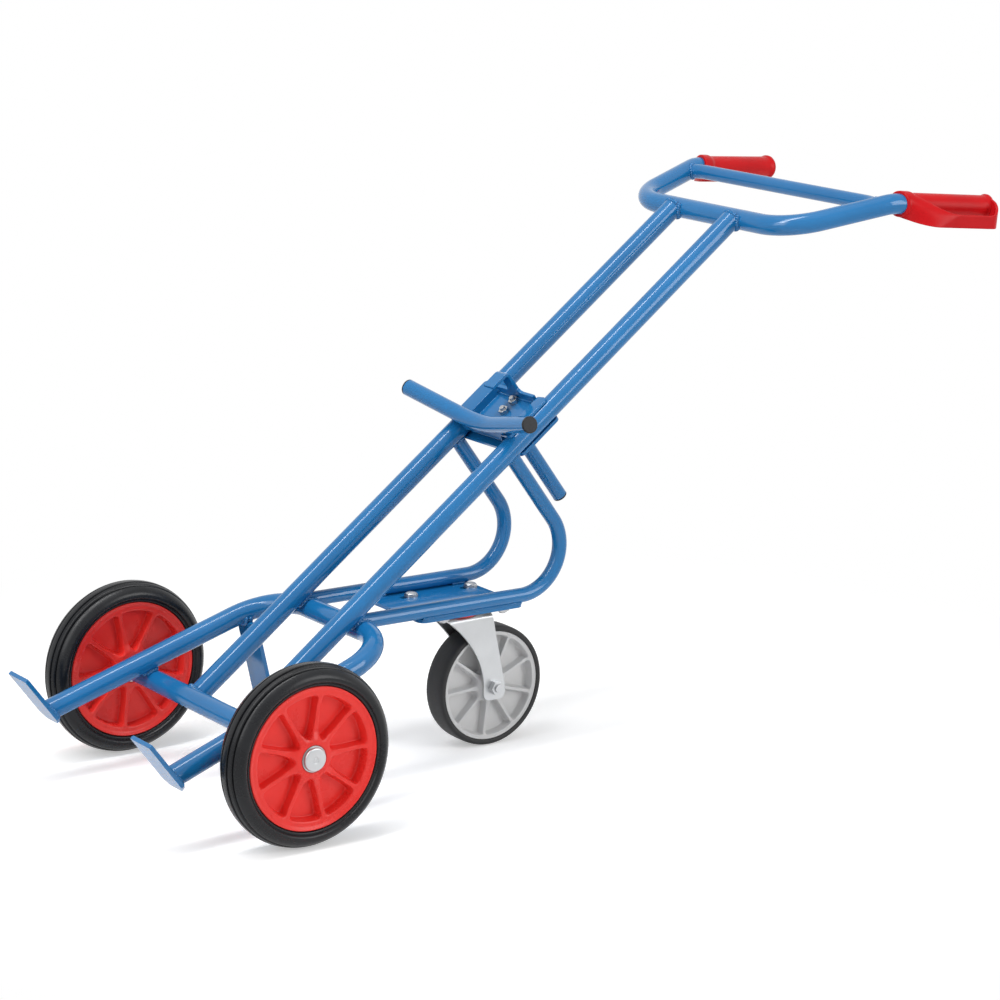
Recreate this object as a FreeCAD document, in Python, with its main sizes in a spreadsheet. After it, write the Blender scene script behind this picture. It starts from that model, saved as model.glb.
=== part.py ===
import FreeCAD, Part
import math
import os
import re
import Sketcher

# Drum trolley: two wheels and a swivel castor carry a welded tube frame. Two toe plates go under the
# drum, and a hook that slides on the main tubes grips its rim. X runs across the trolley, Y from the
# toes to the handle and Z up. The origin lies on the floor in the middle of the footprint.

# Driving sizes: millimetres, degrees for names in _angle, plain numbers for _count and _share.
SIZES = (
    # fits between pieces
    ("weld_gap", "0.2"),
    ("seat_gap", "0.1"),
    ("running_gap", "0.05"),
    ("slide_gap", "0.35"),
    ("side_play", "0.3"),
    ("cut_overrun", "60"),
    # main wheels and their axle
    ("rim_seat_dia", "188"),
    ("tyre_depth", "31"),
    ("tyre_width", "52"),
    ("lip_height", "4"),
    ("rim_width", "44"),
    ("lip_thick", "3.5"),
    ("barrel_thick", "5"),
    ("web_thick", "8"),
    ("hub_dia", "52"),
    ("hub_length", "38"),
    ("bush_dia", "30"),
    ("rib_count", "9"),
    ("rib_thick", "6"),
    ("rib_flare", "17"),
    ("rib_inset", "3"),
    ("half_track", "238"),
    ("axle_dia", "20"),
    ("axle_tube_dia", "30"),
    ("washer_dia", "36"),
    ("washer_thick", "2"),
    ("cap_dia", "33"),
    ("cap_height", "5"),
    ("cap_wall", "1.5"),
    ("dimple_dia", "6"),
    # two main tubes, from the axle tube up to the handle
    ("main_dia", "30"),
    ("main_wall", "2.5"),
    ("main_half_gap", "67.2"),
    ("main_slope_angle", "37.6"),
    ("main_setback", "12.4"),
    ("main_length", "1050"),
    # lower bow with its two toe plates and the foot step
    ("bow_dia", "30"),
    ("bow_wall", "2.5"),
    ("bow_reach", "218"),
    ("bow_toe_half", "168"),
    ("bow_corner_half", "148"),
    ("bow_bend", "80"),
    ("toe_drop", "140"),
    ("toe_width", "50"),
    ("toe_heel", "76"),
    ("toe_tip", "165"),
    ("toe_thick", "6"),
    ("toe_corner", "10"),
    ("step_width", "50"),
    ("step_thick", "6"),
    ("step_length", "150"),
    ("step_outer_edge", "166"),
    ("step_back", "141"),
    ("step_rise", "68"),
    ("step_lean_angle", "14"),
    # two side loops that carry the castor
    ("loop_dia", "21.3"),
    ("loop_wall", "2"),
    ("loop_station", "549.5"),
    ("loop_bend", "66"),
    ("plate_length", "180"),
    ("plate_width", "150"),
    ("plate_thick", "5"),
    ("plate_front", "295"),
    ("slot_width", "11"),
    ("slot_length", "30"),
    ("slot_lead", "6"),
    # castor
    ("castor_station", "409"),
    ("castor_trail", "52"),
    ("castor_rim_dia", "162"),
    ("tread_depth", "9"),
    ("tread_width", "41"),
    ("castor_rim_width", "37"),
    ("castor_barrel", "5"),
    ("castor_web", "7"),
    ("castor_hub_dia", "42"),
    ("castor_hub_length", "46"),
    ("castor_bush_dia", "22"),
    ("castor_rib_count", "9"),
    ("castor_rib_thick", "4"),
    ("castor_rib_inset", "4"),
    ("castor_axle_dia", "12"),
    ("castor_sleeve_dia", "16"),
    ("fork_sheet", "4"),
    ("crown_gap", "19"),
    ("swivel_gap", "13"),
    ("fork_front", "38"),
    ("fork_back", "45"),
    ("fork_foot", "19"),
    ("fork_fold", "8"),
    ("top_plate_length", "135"),
    ("top_plate_width", "110"),
    ("top_plate_thick", "4"),
    ("top_plate_corner", "12"),
    ("bolt_pitch_long", "105"),
    ("bolt_pitch_wide", "80"),
    ("kingpin_dia", "12"),
    ("kingpin_head_dia", "22"),
    ("kingpin_head", "6"),
    ("race_dia", "50"),
    ("race_height", "7"),
    ("seal_dia", "60"),
    ("seal_height", "9"),
    ("seal_skirt_share", "0.6"),
    # fasteners
    ("bolt_dia", "10"),
    ("bolt_head_width", "17"),
    ("bolt_head", "5.5"),
    ("bolt_washer_dia", "20"),
    ("bolt_washer", "2"),
    ("bolt_nut", "8"),
    ("bolt_stub", "3"),
    ("castor_nut_width", "19"),
    ("castor_nut", "9"),
    # handle with its brace and guarded grips
    ("handle_dia", "30"),
    ("handle_wall", "2.5"),
    ("crossbar_lead", "8"),
    ("crossbar_setback", "9"),
    ("handle_half", "173.2"),
    ("handle_bend", "78"),
    ("arm_length", "168"),
    ("arm_splay_angle", "17.7"),
    ("arm_rise_angle", "12.2"),
    ("grip_splay_angle", "7.4"),
    ("grip_drop_angle", "4.1"),
    ("wrist_bend", "62"),
    ("brace_dia", "22"),
    ("brace_wall", "2"),
    ("brace_run", "146"),
    ("brace_stub", "28"),
    ("brace_bend", "50"),
    ("grip_start", "12"),
    ("grip_length", "161"),
    ("mouth_angle", "14"),
    ("grip_dia", "34"),
    ("collar_dia", "39"),
    ("collar_length", "12"),
    ("flange_dia", "38"),
    ("flange_length", "7"),
    ("grip_end_wall", "6"),
    ("guard_reach", "42"),
    ("guard_thick", "4"),
    ("guard_low", "27"),
    ("guard_high", "9"),
    ("guard_root", "6"),
    ("guard_sweep", "46"),
    ("guard_corner", "18"),
    # sliding hook carriage
    ("carriage_length", "81"),
    ("trough_half", "49"),
    ("trough_sheet", "4"),
    ("flange_half", "74"),
    ("floor_level", "5"),
    ("trough_corner", "7"),
    ("hook_sheet", "5"),
    ("hook_width", "23"),
    ("hook_rise", "57"),
    ("hook_reach", "34"),
    ("hook_bend", "9"),
    ("hook_fillet", "8"),
    ("cradle_dia", "24"),
    ("cradle_wall", "2"),
    ("cradle_half", "147"),
    ("cradle_angle", "14.5"),
    ("cradle_bend", "180"),
    ("cradle_station", "4"),
    ("end_cap", "3"),
    ("plug_length", "14"),
    ("clamp_half", "76"),
    ("clamp_thick", "5"),
    ("clamp_corner", "8"),
    ("pull_dia", "21.3"),
    ("pull_wall", "2"),
    ("pull_reach", "164"),
    ("pull_station", "47"),
    ("stud_pitch", "21"),
    ("stud_dia", "8"),
    ("stud_nut_width", "13"),
    ("stud_nut", "6.5"),
    ("stud_tip", "4"),
    ("stud_head", "5"),
    ("spacer_dia", "14"),
    ("pull_disc", "4"),
)

# Shares of the half width and of the depth from rim seat to crown, round one half of the tyre section.
TYRE_SHARES = ((0.71, 0.0), (0.71, 0.14), (0.86, 0.14), (0.98, 0.27), (1.0, 0.4), (0.95, 0.56), (0.8, 0.74),
               (0.62, 0.85), (0.62, 0.77), (0.52, 0.77), (0.52, 0.91), (0.3, 0.98), (0.3, 0.9), (0.2, 0.9),
               (0.2, 1.0))
TREAD_SHARES = ((0.88, 0.0), (0.97, 0.15), (1.0, 0.45), (0.93, 0.8), (0.78, 0.97))

os.makedirs("parts", exist_ok=True)
doc = FreeCAD.newDocument("drum_trolley")
sheet = doc.addObject("Spreadsheet::Sheet", "Sizes")
for row, (alias, number) in enumerate(SIZES, start=1):
    sheet.set("A%d" % row, alias)
    sheet.set("B%d" % row, number)
    sheet.setAlias("B%d" % row, alias)
doc.recompute()

V = FreeCAD.Vector
ALONG_X = FreeCAD.Rotation(V(0, 1, 0), 90)
ALONG_Y = FreeCAD.Rotation(V(1, 0, 0), -90)
UPRIGHT = FreeCAD.Rotation()
ALIASES = [alias for alias, number in SIZES]
pieces = {}


def size(alias):
    return float(sheet.get(alias))


def value_of(formula):
    """Number that a formula in sheet names gives."""
    return float(sheet.evalExpression(formula))


def cells(formula):
    """The same formula for use outside the sheet."""
    def named(word):
        return "Sizes." + word.group(0) if word.group(0) in ALIASES else word.group(0)
    return re.sub(r"[a-z]\w+", named, formula)


def bind(thing, prop, formula):
    thing.setExpression(prop, cells(formula))


def keep(label, thing, placement=None):
    """Name a finished sub-part and put it in its place."""
    thing.Label = label
    if placement is not None:
        thing.Placement = placement
    pieces[label] = thing
    return thing


def solid(label, shape, placement=None):
    """A sub-part whose form is bent or moulded, so its shape comes from Part's own functions."""
    thing = doc.addObject("Part::Feature", label)
    thing.Shape = shape
    return keep(label, thing, placement)


def cylinder(name, dia, length, base, rotation):
    thing = doc.addObject("Part::Cylinder", name)
    bind(thing, "Radius", "(%s) / 2" % dia)
    bind(thing, "Height", length)
    thing.Placement = FreeCAD.Placement(base, rotation)
    return thing


def cut(name, base, *tools):
    """Base less every tool."""
    joined = tools[0]
    if len(tools) > 1:
        joined = doc.addObject("Part::MultiFuse", name + "_tools")
        joined.Shapes = list(tools)
    thing = doc.addObject("Part::Cut", name)
    thing.Base = base
    thing.Tool = joined
    return thing


def body(label):
    return doc.addObject("PartDesign::Body", label)


def sketch(owner, name, role):
    thing = owner.newObject("Sketcher::SketchObject", name)
    plane = next(feature for feature in owner.Origin.OriginFeatures if feature.Role == role)
    thing.AttachmentSupport = [(plane, "")]
    thing.MapMode = "FlatFace"
    return thing


def pin(drawing, kind, element, end, formula):
    """Tie one coordinate of a point to the sheet."""
    index = drawing.addConstraint(Sketcher.Constraint(kind, -1, 1, element, end, value_of(formula)))
    if formula != "0":
        drawing.setExpression("Constraints[%d]" % index, cells(formula))


def outline(drawing, corners):
    """Closed outline through corners, each a pair of formulas."""
    first = drawing.GeometryCount
    spots = [V(value_of(across), value_of(along), 0) for across, along in corners]
    count = len(spots)
    for index in range(count):
        drawing.addGeometry(Part.LineSegment(spots[index], spots[(index + 1) % count]), False)
    for index in range(count):
        following = first + (index + 1) % count
        drawing.addConstraint(Sketcher.Constraint("Coincident", first + index, 2, following, 1))
    for index, (across, along) in enumerate(corners):
        pin(drawing, "DistanceX", first + index, 1, across)
        pin(drawing, "DistanceY", first + index, 1, along)


def circle(drawing, across, along, dia):
    element = drawing.addGeometry(Part.Circle(V(value_of(across), value_of(along), 0), V(0, 0, 1),
                                              value_of(dia) / 2), False)
    pin(drawing, "DistanceX", element, 3, across)
    pin(drawing, "DistanceY", element, 3, along)
    index = drawing.addConstraint(Sketcher.Constraint("Diameter", element, value_of(dia)))
    drawing.setExpression("Constraints[%d]" % index, cells(dia))


def pad(owner, drawing, length, symmetric=False):
    thing = owner.newObject("PartDesign::Pad", "Pad")
    thing.Profile = drawing
    bind(thing, "Length", length)
    if symmetric:
        thing.SideType = "Symmetric"
    doc.recompute()
    return thing


def pocket(owner, drawing, length):
    """Cut right through, half to each side of the sketch, and make sure that it took something away."""
    before = owner.Shape.Volume
    thing = owner.newObject("PartDesign::Pocket", "Pocket")
    thing.Profile = drawing
    bind(thing, "Length", length)
    thing.SideType = "Symmetric"
    doc.recompute()
    if not owner.Shape.Volume < before:
        raise RuntimeError(owner.Label + ": the pocket cut nothing")
    return thing


def revolved(label, corners):
    """Body turned about its own Z from corners given as radius and height."""
    owner = body(label)
    drawing = sketch(owner, label + "_section", "XZ_Plane")
    outline(drawing, corners)
    turn = owner.newObject("PartDesign::Revolution", label + "_turn")
    turn.Profile = drawing
    turn.ReferenceAxis = (drawing, ["V_Axis"])
    turn.Angle = 360
    doc.recompute()
    return owner


def rounded(owner, base, radius, chosen):
    """Fillet of the edges that a test picks."""
    picked = ["Edge%d" % (index + 1) for index, edge in enumerate(base.Shape.Edges) if chosen(edge)]
    thing = owner.newObject("PartDesign::Fillet", "Rounding")
    thing.Base = (base, picked)
    bind(thing, "Radius", radius)
    doc.recompute()
    return thing


def runs_along(axis):
    """Test for straight edges in one direction."""
    def test(edge):
        if edge.Curve.TypeId != "Part::GeomLine":
            return False
        return abs(edge.tangentAt(edge.FirstParameter).dot(axis)) > math.cos(math.radians(5))
    return test


def bent_path(points, bends):
    """Straight runs through the points, joined by tangent arcs of the given radii at the inner points."""
    edges = []
    start = points[0]
    for index in range(1, len(points) - 1):
        corner = points[index]
        ahead = (corner - points[index - 1]).normalize()
        onward = (points[index + 1] - corner).normalize()
        half = ahead.getAngle(onward) / 2
        reach = bends[index - 1] * math.tan(half)
        entry = corner - ahead * reach
        leave = corner + onward * reach
        inward = (onward - ahead).normalize()
        middle = corner + inward * (bends[index - 1] * (1 / math.cos(half) - 1))
        edges.append(Part.LineSegment(start, entry).toShape())
        edges.append(Part.Arc(entry, middle, leave).toShape())
        start = leave
    edges.append(Part.LineSegment(start, points[-1]).toShape())
    return Part.Wire(edges)


def bar_along(path, dia):
    """Round bar along a path of straight runs and arcs."""
    runs = []
    for edge in path.Edges:
        start = edge.valueAt(edge.FirstParameter)
        ahead = edge.tangentAt(edge.FirstParameter)
        section = Part.Face(Part.Wire(Part.makeCircle(dia / 2, start, ahead)))
        if edge.Curve.TypeId == "Part::GeomCircle":
            turn = math.degrees(edge.LastParameter - edge.FirstParameter)
            runs.append(section.revolve(edge.Curve.Center, edge.Curve.Axis, turn))
        else:
            runs.append(section.extrude(ahead * edge.Length))
    return runs[0].fuse(runs[1:])


def tube_along(path, dia, wall):
    return bar_along(path, dia).cut(bar_along(path, dia - 2 * wall))


def hexagon(width, height, base, axis):
    """Hexagonal prism with a given width across its flats."""
    corner = width / math.sqrt(3)
    side = V(1, 0, 0) if abs(axis.x) < math.cos(math.radians(45)) else V(0, 1, 0)
    spots = []
    for step in range(7):
        spots.append(base + FreeCAD.Rotation(axis, 60 * step).multVec(side * corner))
    return Part.Face(Part.makePolygon(spots)).extrude(axis * height)


# Reference frames
# The main frame lies along the main tubes: X across, Y up the tubes, Z out of their front.
slope = math.radians(size("main_slope_angle"))
axle = V(0, 0, size("rim_seat_dia") / 2 + size("tyre_depth"))
up_main = V(0, math.cos(slope), math.sin(slope))
off_main = V(0, -math.sin(slope), math.cos(slope))
main_frame = FreeCAD.Placement(axle - off_main * size("main_setback"),
                               FreeCAD.Rotation(V(1, 0, 0), size("main_slope_angle")))


def on_main(across, along, off):
    """Point of the main frame."""
    return main_frame.multVec(V(across, along, off))


# The bow lies on the axle tube and under the main tubes, and those two contacts set its slope.
cross_part = on_main(0, size("bow_reach"), -(size("main_dia") + size("bow_dia")) / 2 - size("weld_gap"))
axle_clear = (size("axle_tube_dia") + size("bow_dia")) / 2 + size("weld_gap")
to_cross = cross_part - axle
bow_angle = math.atan2(to_cross.z, to_cross.y) - math.asin(axle_clear / to_cross.Length)
along_bow = V(0, math.cos(bow_angle), math.sin(bow_angle))
off_bow = V(0, -math.sin(bow_angle), math.cos(bow_angle))
bow_origin = axle + off_bow * axle_clear
cross_run = (cross_part - bow_origin).dot(along_bow)

# The handle tube leaves the crossbar, rises along two splayed arms and drops into the grips.
crossbar_station = size("main_length") + size("crossbar_lead")
crossbar = on_main(0, crossbar_station, -size("crossbar_setback"))
splay = math.radians(size("arm_splay_angle"))
rise = math.radians(size("arm_rise_angle"))
grip_out = math.radians(size("grip_splay_angle"))
drop = math.radians(size("grip_drop_angle"))


def arm_way(side):
    return V(side * math.sin(splay), math.cos(splay) * math.cos(rise), math.cos(splay) * math.sin(rise))


def grip_way(side):
    ahead = math.cos(grip_out)
    return V(side * math.sin(grip_out), ahead * math.cos(drop), -ahead * math.sin(drop))


def wrist(side):
    """Where the arm turns down into the grip."""
    return crossbar + V(side * size("handle_half"), 0, 0) + arm_way(side) * size("arm_length")


# Heights of the castor group, from the floor up
castor_radius = size("castor_rim_dia") / 2 + size("tread_depth")
crown_low = 2 * castor_radius + size("crown_gap")
crown_top = crown_low + size("fork_sheet")
top_plate_low = crown_top + size("swivel_gap")
castor_height = top_plate_low + size("top_plate_thick")
plate_top = castor_height + size("plate_thick")
loop_low = plate_top + size("weld_gap") + size("loop_dia") / 2
swivel = V(0, size("castor_station"), 0)
castor_axle = V(0, size("castor_station") + size("castor_trail"), castor_radius)
bolt_spots = [swivel + V(side * size("bolt_pitch_wide") / 2, end * size("bolt_pitch_long") / 2, 0)
              for side in (-1, 1) for end in (-1, 1)]

# Levels of the carriage off the main tubes: behind them, the floor of the trough and the flange face
flange_back = size("main_dia") / 2 + size("slide_gap")
flange_face = flange_back + size("trough_sheet")
clamp_face = -size("main_dia") / 2 - size("slide_gap")
clamp_back = clamp_face - size("clamp_thick")
floor_back = size("floor_level") - size("trough_sheet")
carriage_low = size("loop_station") + size("loop_dia") / 2 + size("slide_gap")
carriage_high = carriage_low + size("carriage_length")

# Main tubes: straight tube, saddle cut on the axle tube below and on the crossbar above.
for label, side in (("main_tube_left", -1), ("main_tube_right", 1)):
    spot = V(side * size("main_half_gap"), 0, 0)
    outer = cylinder(label + "_outer", "main_dia", "main_length", spot, ALONG_Y)
    bore = cylinder(label + "_bore", "main_dia - 2 * main_wall", "main_length", spot, ALONG_Y)
    reach = V(-size("main_dia"), 0, 0)
    foot_cut = cylinder(label + "_foot", "axle_tube_dia + 2 * weld_gap", "2 * main_dia",
                        spot + reach + V(0, 0, size("main_setback")), ALONG_X)
    head_spot = V(0, crossbar_station, -size("crossbar_setback"))
    head_cut = cylinder(label + "_head", "handle_dia + 2 * weld_gap", "2 * main_dia",
                        spot + reach + head_spot, ALONG_X)
    keep(label, cut(label, outer, bore, foot_cut, head_cut), main_frame)

# Axle: a rod in a tube that stops short of the wheel hubs.
hub_inner = "half_track - hub_length / 2 - side_play - washer_thick"
tube_half = value_of(hub_inner)
tube_end = axle - V(tube_half, 0, 0)
axle_outer = cylinder("axle_tube_outer", "axle_tube_dia", "2 * (%s)" % hub_inner, tube_end, ALONG_X)
axle_bore = cylinder("axle_tube_bore", "axle_dia + 2 * seat_gap", "2 * (%s)" % hub_inner, tube_end, ALONG_X)
keep("axle_tube", cut("axle_tube", axle_outer, axle_bore))
rod_end = "half_track + hub_length / 2 + side_play + washer_thick + cap_height - cap_wall - seat_gap"
rod = cylinder("axle_rod", "axle_dia", "2 * (%s)" % rod_end, axle - V(value_of(rod_end), 0, 0), ALONG_X)
keep("axle_rod", rod)

# Lower bow: one tube bent to a U, with its two arms cut square to the toe plates.
toe_face = on_main(0, -size("toe_drop"), 0)
toe_run = (toe_face - bow_origin).dot(up_main) / along_bow.dot(up_main) - size("cut_overrun")


def on_bow(across, along):
    return bow_origin + V(across, 0, 0) + along_bow * along


bow_lean = (size("bow_toe_half") - size("bow_corner_half")) / (cross_run + size("toe_drop"))
toe_across = size("bow_corner_half") + bow_lean * (cross_run - toe_run)
bow_points = [on_bow(-toe_across, toe_run), on_bow(-size("bow_corner_half"), cross_run),
              on_bow(size("bow_corner_half"), cross_run), on_bow(toe_across, toe_run)]
bow_path = bent_path(bow_points, [size("bow_bend")] * 2)
wide = 2 * (toe_across + size("bow_dia"))
beyond_toe = Part.makeBox(wide, 2 * size("cut_overrun"), wide)
beyond_toe.Placement = main_frame.multiply(FreeCAD.Placement(
    V(-wide / 2, -size("toe_drop") + size("weld_gap") - 2 * size("cut_overrun"), -wide / 2), UPRIGHT))
solid("lower_bow", tube_along(bow_path, size("bow_dia"), size("bow_wall")).cut(beyond_toe))
bow_space = doc.addObject("Part::Feature", "bow_space")
bow_space.Shape = bar_along(bow_path, size("bow_dia") + 2 * size("weld_gap"))

# Toe plates: flat steel at right angles to the main tubes, with clipped heel corners.
toe_end = (toe_face - bow_origin).dot(up_main) / along_bow.dot(up_main)
toe_middle = size("bow_corner_half") + bow_lean * (cross_run - toe_end)
for label, side in (("toe_plate_left", -1), ("toe_plate_right", 1)):
    plate = body(label)
    drawing = sketch(plate, label + "_outline", "XZ_Plane")
    outline(drawing, (("-toe_width / 2 + toe_corner", "toe_heel"), ("toe_width / 2 - toe_corner", "toe_heel"),
                      ("toe_width / 2", "toe_heel + toe_corner"), ("toe_width / 2", "toe_tip"),
                      ("-toe_width / 2", "toe_tip"), ("-toe_width / 2", "toe_heel + toe_corner")))
    pad(plate, drawing, "toe_thick")
    spot = V(side * toe_middle, -size("toe_drop"), 0)
    keep(label, plate, main_frame.multiply(FreeCAD.Placement(spot, UPRIGHT)))

# Foot step: a flat bar welded under the left bend of the bow, for tipping the drum back.
step = doc.addObject("Part::Box", "step_bar")
bind(step, "Length", "step_width")
bind(step, "Width", "step_thick")
bind(step, "Height", "step_length")
step_turn = FreeCAD.Rotation(V(1, 0, 0), size("step_lean_angle"))
step_head = V(-size("step_outer_edge"), size("step_back"), axle.z + size("step_rise"))
step.Placement = FreeCAD.Placement(step_head - step_turn.multVec(V(0, 0, size("step_length"))), step_turn)
keep("foot_step", cut("foot_step", step, bow_space))

# Side loops: a run square to the main tubes, one bend and a level run forward to the bow.
level_off = (loop_low - on_main(0, size("loop_station"), 0).z) / off_main.z
loop_corner = on_main(0, size("loop_station"), level_off)
main_under = on_main(0, 0, -size("main_dia") / 2 - size("weld_gap"))
loop_top = loop_low + size("loop_dia") / 2
loop_front = main_under.y + (loop_top - main_under.z) / math.tan(slope)
for label, side in (("side_loop_left", -1), ("side_loop_right", 1)):
    spot = V(side * size("main_half_gap"), 0, 0)
    path = bent_path([on_main(0, size("loop_station"), 0) + spot, loop_corner + spot,
                      V(0, loop_front, loop_low) + spot], [size("loop_bend")])
    main_space = Part.makeCylinder(size("main_dia") / 2 + size("weld_gap"), size("main_length"),
                                   on_main(spot.x, 0, 0), up_main)
    shape = tube_along(path, size("loop_dia"), size("loop_wall"))
    solid(label, shape.cut(main_space).cut(bow_space.Shape))

# Castor plate: flat steel under both loops, slotted so that the castor can be shifted.
plate = body("castor_plate")
drawing = sketch(plate, "castor_plate_outline", "XY_Plane")
outline(drawing, (("-plate_width / 2", "0"), ("plate_width / 2", "0"),
                  ("plate_width / 2", "plate_length"), ("-plate_width / 2", "plate_length")))
base = pad(plate, drawing, "plate_thick")
rounded(plate, base, "top_plate_corner", runs_along(V(0, 0, 1)))
slots = sketch(plate, "castor_plate_slots", "XY_Plane")
slot_ends = sketch(plate, "castor_plate_slot_ends", "XY_Plane")
for side in ("-", ""):
    for end in ("-", "+"):
        middle = "castor_station - plate_front %s bolt_pitch_long / 2" % end
        rear = middle + " + slot_lead"
        front = rear + " - slot_length + slot_width"
        left = "%sbolt_pitch_wide / 2 - slot_width / 2" % side
        right = "%sbolt_pitch_wide / 2 + slot_width / 2" % side
        outline(slots, ((left, front), (right, front), (right, rear), (left, rear)))
        circle(slot_ends, "%sbolt_pitch_wide / 2" % side, front, "slot_width")
        circle(slot_ends, "%sbolt_pitch_wide / 2" % side, rear, "slot_width")
pocket(plate, slots, "4 * plate_thick")
pocket(plate, slot_ends, "4 * plate_thick")
keep("castor_plate", plate, FreeCAD.Placement(V(0, size("plate_front"), castor_height), UPRIGHT))

# Handle: one tube bent to a splayed U whose ends turn down into the grips.
grip_end = size("grip_start") + size("grip_length") - size("grip_end_wall") - size("seat_gap")
handle_points = [wrist(-1) + grip_way(-1) * grip_end, wrist(-1), crossbar - V(size("handle_half"), 0, 0),
                 crossbar + V(size("handle_half"), 0, 0), wrist(1), wrist(1) + grip_way(1) * grip_end]
handle_path = bent_path(handle_points, [size("wrist_bend"), size("handle_bend"),
                                        size("handle_bend"), size("wrist_bend")])
solid("handle_frame", tube_along(handle_path, size("handle_dia"), size("handle_wall")))
handle_space = doc.addObject("Part::Feature", "handle_space")
handle_space.Shape = bar_along(handle_path, size("handle_dia") + 2 * size("weld_gap"))

# Brace between the handle arms, just ahead of the grips: it leaves each arm square and bends inward.
brace_points = []
for side in (-1, 1):
    foot = crossbar + V(side * size("handle_half"), 0, 0) + arm_way(side) * size("brace_run")
    inward = V(-side, 0, 0)
    square = (inward - arm_way(side) * inward.dot(arm_way(side))).normalize()
    brace_points.append(foot)
    brace_points.append(foot + square * size("brace_stub"))
brace_path = bent_path([brace_points[0], brace_points[1], brace_points[3], brace_points[2]],
                       [size("brace_bend")] * 2)
solid("handle_brace", tube_along(brace_path, size("brace_dia"), size("brace_wall")).cut(handle_space.Shape))


# Grips: moulded sleeve with a collar and an end flange. A guard leaves the collar in a double curve,
# runs beside the hand and closes round the end.
def grip_shape(side):
    bore = size("handle_dia") / 2 + size("seat_gap")
    collar = size("collar_dia") / 2
    sleeve = size("grip_dia") / 2
    flange = size("flange_dia") / 2
    length = size("grip_length")
    collar_end = size("collar_length")
    flange_start = length - size("flange_length")
    blend = (collar - sleeve) * 2
    section = [V(0, 0, 0), V(collar, 0, 0), V(collar, collar_end, 0), V(sleeve, collar_end + blend, 0),
               V(sleeve, flange_start - (flange - sleeve), 0), V(flange, flange_start, 0),
               V(flange, length - (flange - sleeve), 0), V(sleeve, length, 0), V(0, length, 0), V(0, 0, 0)]
    shape = Part.Face(Part.makePolygon(section)).revolve(V(0, 0, 0), V(0, 1, 0), 360)

    def band_edge(offset):
        """Plan of the guard at a distance from its middle line, with end points on the sleeve."""
        root = V(sleeve, size("guard_root"), 0)
        far = V(size("guard_reach"), size("guard_root") + size("guard_sweep"), 0)
        shift = far.x - root.x
        radius = (size("guard_sweep") ** 2 + shift ** 2) / (4 * shift)
        half = math.asin(size("guard_sweep") / (2 * radius))
        first = V(root.x + radius, root.y, 0)
        second = V(far.x - radius, far.y, 0)
        corner = V(far.x - size("guard_corner"), length - size("guard_thick") / 2 - size("guard_corner"), 0)

        def spot(middle, reach, turn):
            return middle + V(math.cos(turn), math.sin(turn), 0) * reach

        inner = radius - offset
        outer = radius + offset
        bend = size("guard_corner") + offset
        close = V(0, corner.y + bend, 0)
        lead = V(root.x + offset, 0, 0)
        edges = [Part.LineSegment(lead, spot(first, inner, math.pi)).toShape()]
        edges.append(Part.Arc(spot(first, inner, math.pi), spot(first, inner, math.pi - half / 2),
                              spot(first, inner, math.pi - half)).toShape())
        edges.append(Part.Arc(spot(second, outer, -half), spot(second, outer, -half / 2),
                              spot(second, outer, 0)).toShape())
        edges.append(Part.LineSegment(spot(second, outer, 0), spot(corner, bend, 0)).toShape())
        edges.append(Part.Arc(spot(corner, bend, 0), spot(corner, bend, math.pi / 4),
                              spot(corner, bend, math.pi / 2)).toShape())
        edges.append(Part.LineSegment(spot(corner, bend, math.pi / 2), close).toShape())
        return edges, lead, close

    half_band = size("guard_thick") / 2
    outer_edges, outer_lead, outer_close = band_edge(half_band)
    inner_edges, inner_lead, inner_close = band_edge(-half_band)
    rim = [Part.LineSegment(outer_close, inner_close).toShape()]
    mouth = [Part.LineSegment(inner_lead, outer_lead).toShape()]
    plan = Part.Wire(Part.__sortEdges__(outer_edges + rim + inner_edges + mouth))
    low = -size("guard_low")
    band = Part.Face(plan).extrude(V(0, 0, 2 * size("guard_low")))
    band.translate(V(0, 0, low))
    edge = size("guard_reach") + half_band
    knee = (sleeve + size("guard_reach")) / 2
    side_view = [V(0, 0, low), V(edge, 0, low), V(edge, 0, -size("guard_high")),
                 V(size("guard_reach") - half_band, 0, -size("guard_high")), V(knee, 0, (sleeve + low) / 4),
                 V(sleeve + half_band, 0, sleeve - half_band), V(0, 0, sleeve), V(0, 0, low)]
    veil = Part.Face(Part.makePolygon(side_view)).extrude(V(0, 2 * length, 0))
    veil.translate(V(0, -length / 2, 0))
    sweep_end = size("guard_root") + size("guard_sweep")
    below = [V(-edge, 0, -collar), V(-edge, sweep_end, low), V(-edge, 0, low), V(-edge, 0, -collar)]
    heel = Part.Face(Part.makePolygon(below)).extrude(V(2 * edge, 0, 0))
    shape = shape.fuse(band.common(veil).cut(heel)).removeSplitter()
    mouth_cut = Part.makeBox(length, length, length)
    mouth_cut.translate(V(0, -length, -length / 2))
    mouth_cut.rotate(V(0, 0, 0), V(0, 0, 1), size("mouth_angle"))
    mouth_cut.translate(V(-collar, 0, 0))
    shape = shape.cut(mouth_cut)
    shape = shape.cut(Part.makeCylinder(bore, length - size("grip_end_wall"), V(0, 0, 0), V(0, 1, 0)))
    if side < 0:
        shape = shape.mirror(V(0, 0, 0), V(1, 0, 0))
    return shape


for label, side in (("grip_left", -1), ("grip_right", 1)):
    way = grip_way(side)
    level = V(0, 0, 1).cross(way).normalize()
    turn = FreeCAD.Rotation(way.cross(V(0, 0, 1)), way, -level.cross(way), "YXZ")
    spot = wrist(side) + way * size("grip_start")
    solid(label, grip_shape(side), FreeCAD.Placement(spot, turn))

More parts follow.
